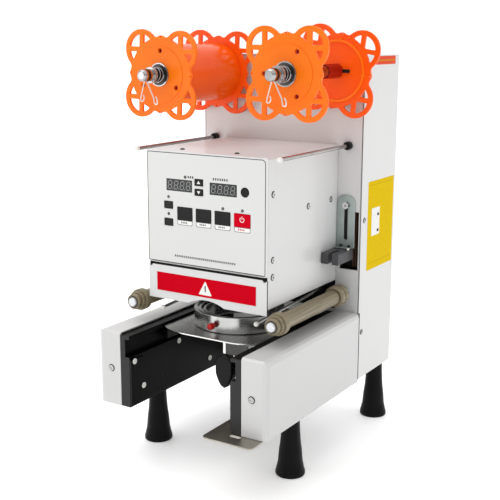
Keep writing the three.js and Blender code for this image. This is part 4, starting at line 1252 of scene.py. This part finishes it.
def reels():
    for word, turn, rear_turn, screw_angles, hub in (
        ("supply", 2, 2, (90, -30, 210), 0), ("takeup", 0, 8, (60, 180, 300), 37),
    ):
        body = f"{word}_reel"
        centre = middle(f"{word}_reel_shaft")
        x, z = centre.x, centre.z
        front_flange(word, body, x, z, turn, screw_angles)
        rear_flange(word, body, x, z, rear_turn, hub)
        reel_shaft(word, body, x, z)
        spring_and_clip(word, x, z)
    outer, length, _ = round_size("supply_film_core")
    core = [(outer - 3, 0), (outer, 0), (outer, length), (outer - 3, length)]
    turned_in("supply_film_core", orange_core, core, "Y", 120, 0.6, closed=True)


for build in (
    column, arms, feet, head, guard, press, tray, film_guides, mark_sensor, sensor_clamp, reels,
):
    build()


# ---------------------------------------------------------------- stage
def stage():
    floor_mesh = bpy.data.meshes.new("floor")
    half = 40.0
    corners = [(-half, -half, 0), (half, -half, 0), (half, half, 0), (-half, half, 0)]
    floor_mesh.from_pydata(corners, [], [(0, 1, 2, 3)])
    finish = Finish("studio_floor", 0.7, Emission_Color=(1.0, 1.0, 1.0, 1.0), Emission_Strength=0.25)
    finish.colours(finish.noise(3), (0.97, 0.97, 0.97, 1), (0.96, 0.96, 0.96, 1))
    floor_mesh.materials.append(finish.material)
    floor = bpy.data.objects.new("floor", floor_mesh)
    bpy.context.scene.collection.objects.link(floor)
    floor.location.z = cad_bounds[0].z
    studio_world()
    sun = bpy.data.lights.new("sun", "SUN")
    sun.energy = 1.0
    sun.angle = math.radians(60)
    aim(sun, (-0.3, -0.2, 1.2), (0, 0, 0))
    softbox = bpy.data.lights.new("strip_left", "AREA")
    softbox.shape = "RECTANGLE"
    softbox.size = 0.3
    softbox.size_y = 1.3
    softbox.energy = 2.5
    aim(softbox, (-1.1, -1.5, 0.5), (0, -0.1, 0.25))


def studio_world():
    """White behind and above the machine, dimmer towards the operator, so that bare metal has contrast."""
    world = bpy.data.worlds.new("studio")
    bpy.context.scene.world = world
    world.use_nodes = True
    nodes = world.node_tree.nodes
    links = world.node_tree.links
    background = nodes["Background"]
    direction = nodes.new("ShaderNodeTexCoord").outputs["Generated"]
    brighter = nodes.new("ShaderNodeMath")
    brighter.operation = "MAXIMUM"
    ramps = (((-0.53, 0.85, 0.0), -0.1, 0.6), ((0.0, 0.0, 1.0), 0.15, 0.8))
    for target, (axis, start, end) in zip(brighter.inputs, ramps):
        along = nodes.new("ShaderNodeVectorMath")
        along.operation = "DOT_PRODUCT"
        along.inputs[1].default_value = axis
        links.new(direction, along.inputs[0])
        ramp = nodes.new("ShaderNodeMapRange")
        ramp.interpolation_type = "SMOOTHSTEP"
        for socket, value in (("From Min", start), ("From Max", end), ("To Min", 0.6), ("To Max", 1.03)):
            ramp.inputs[socket].default_value = value
        links.new(along.outputs["Value"], ramp.inputs["Value"])
        links.new(ramp.outputs["Result"], target)
    links.new(brighter.outputs["Value"], background.inputs["Strength"])
    background.inputs["Color"].default_value = (1.0, 1.0, 1.0, 1.0)


def aim(light, at, towards):
    holder = bpy.data.objects.new(light.name, light)
    bpy.context.scene.collection.objects.link(holder)
    holder.location = at
    holder.rotation_euler = (Vector(towards) - Vector(at)).to_track_quat("-Z", "Y").to_euler()


def camera():
    """Seen from the right of the keypad and a little above."""
    yaw, pitch, roll = (math.radians(a) for a in (32.04, -12.51, 0.15))
    ahead = Vector((-math.sin(yaw) * math.cos(pitch), math.cos(yaw) * math.cos(pitch), math.sin(pitch)))
    right = Vector((math.cos(yaw), math.sin(yaw), 0))
    up = right.cross(ahead)
    turn = Matrix((right, up, -ahead)).transposed() @ Matrix.Rotation(roll, 3, "Z")
    data = bpy.data.cameras.new("camera")
    data.sensor_width = 36
    data.lens = 69.43
    made = bpy.data.objects.new("camera", data)
    bpy.context.scene.collection.objects.link(made)
    made.matrix_world = Matrix.Translation(place(691.5, -1185.5, 565.6)) @ turn.to_4x4()
    bpy.context.scene.camera = made


stage()
camera()
bpy.context.scene.view_settings.view_transform = "Standard"
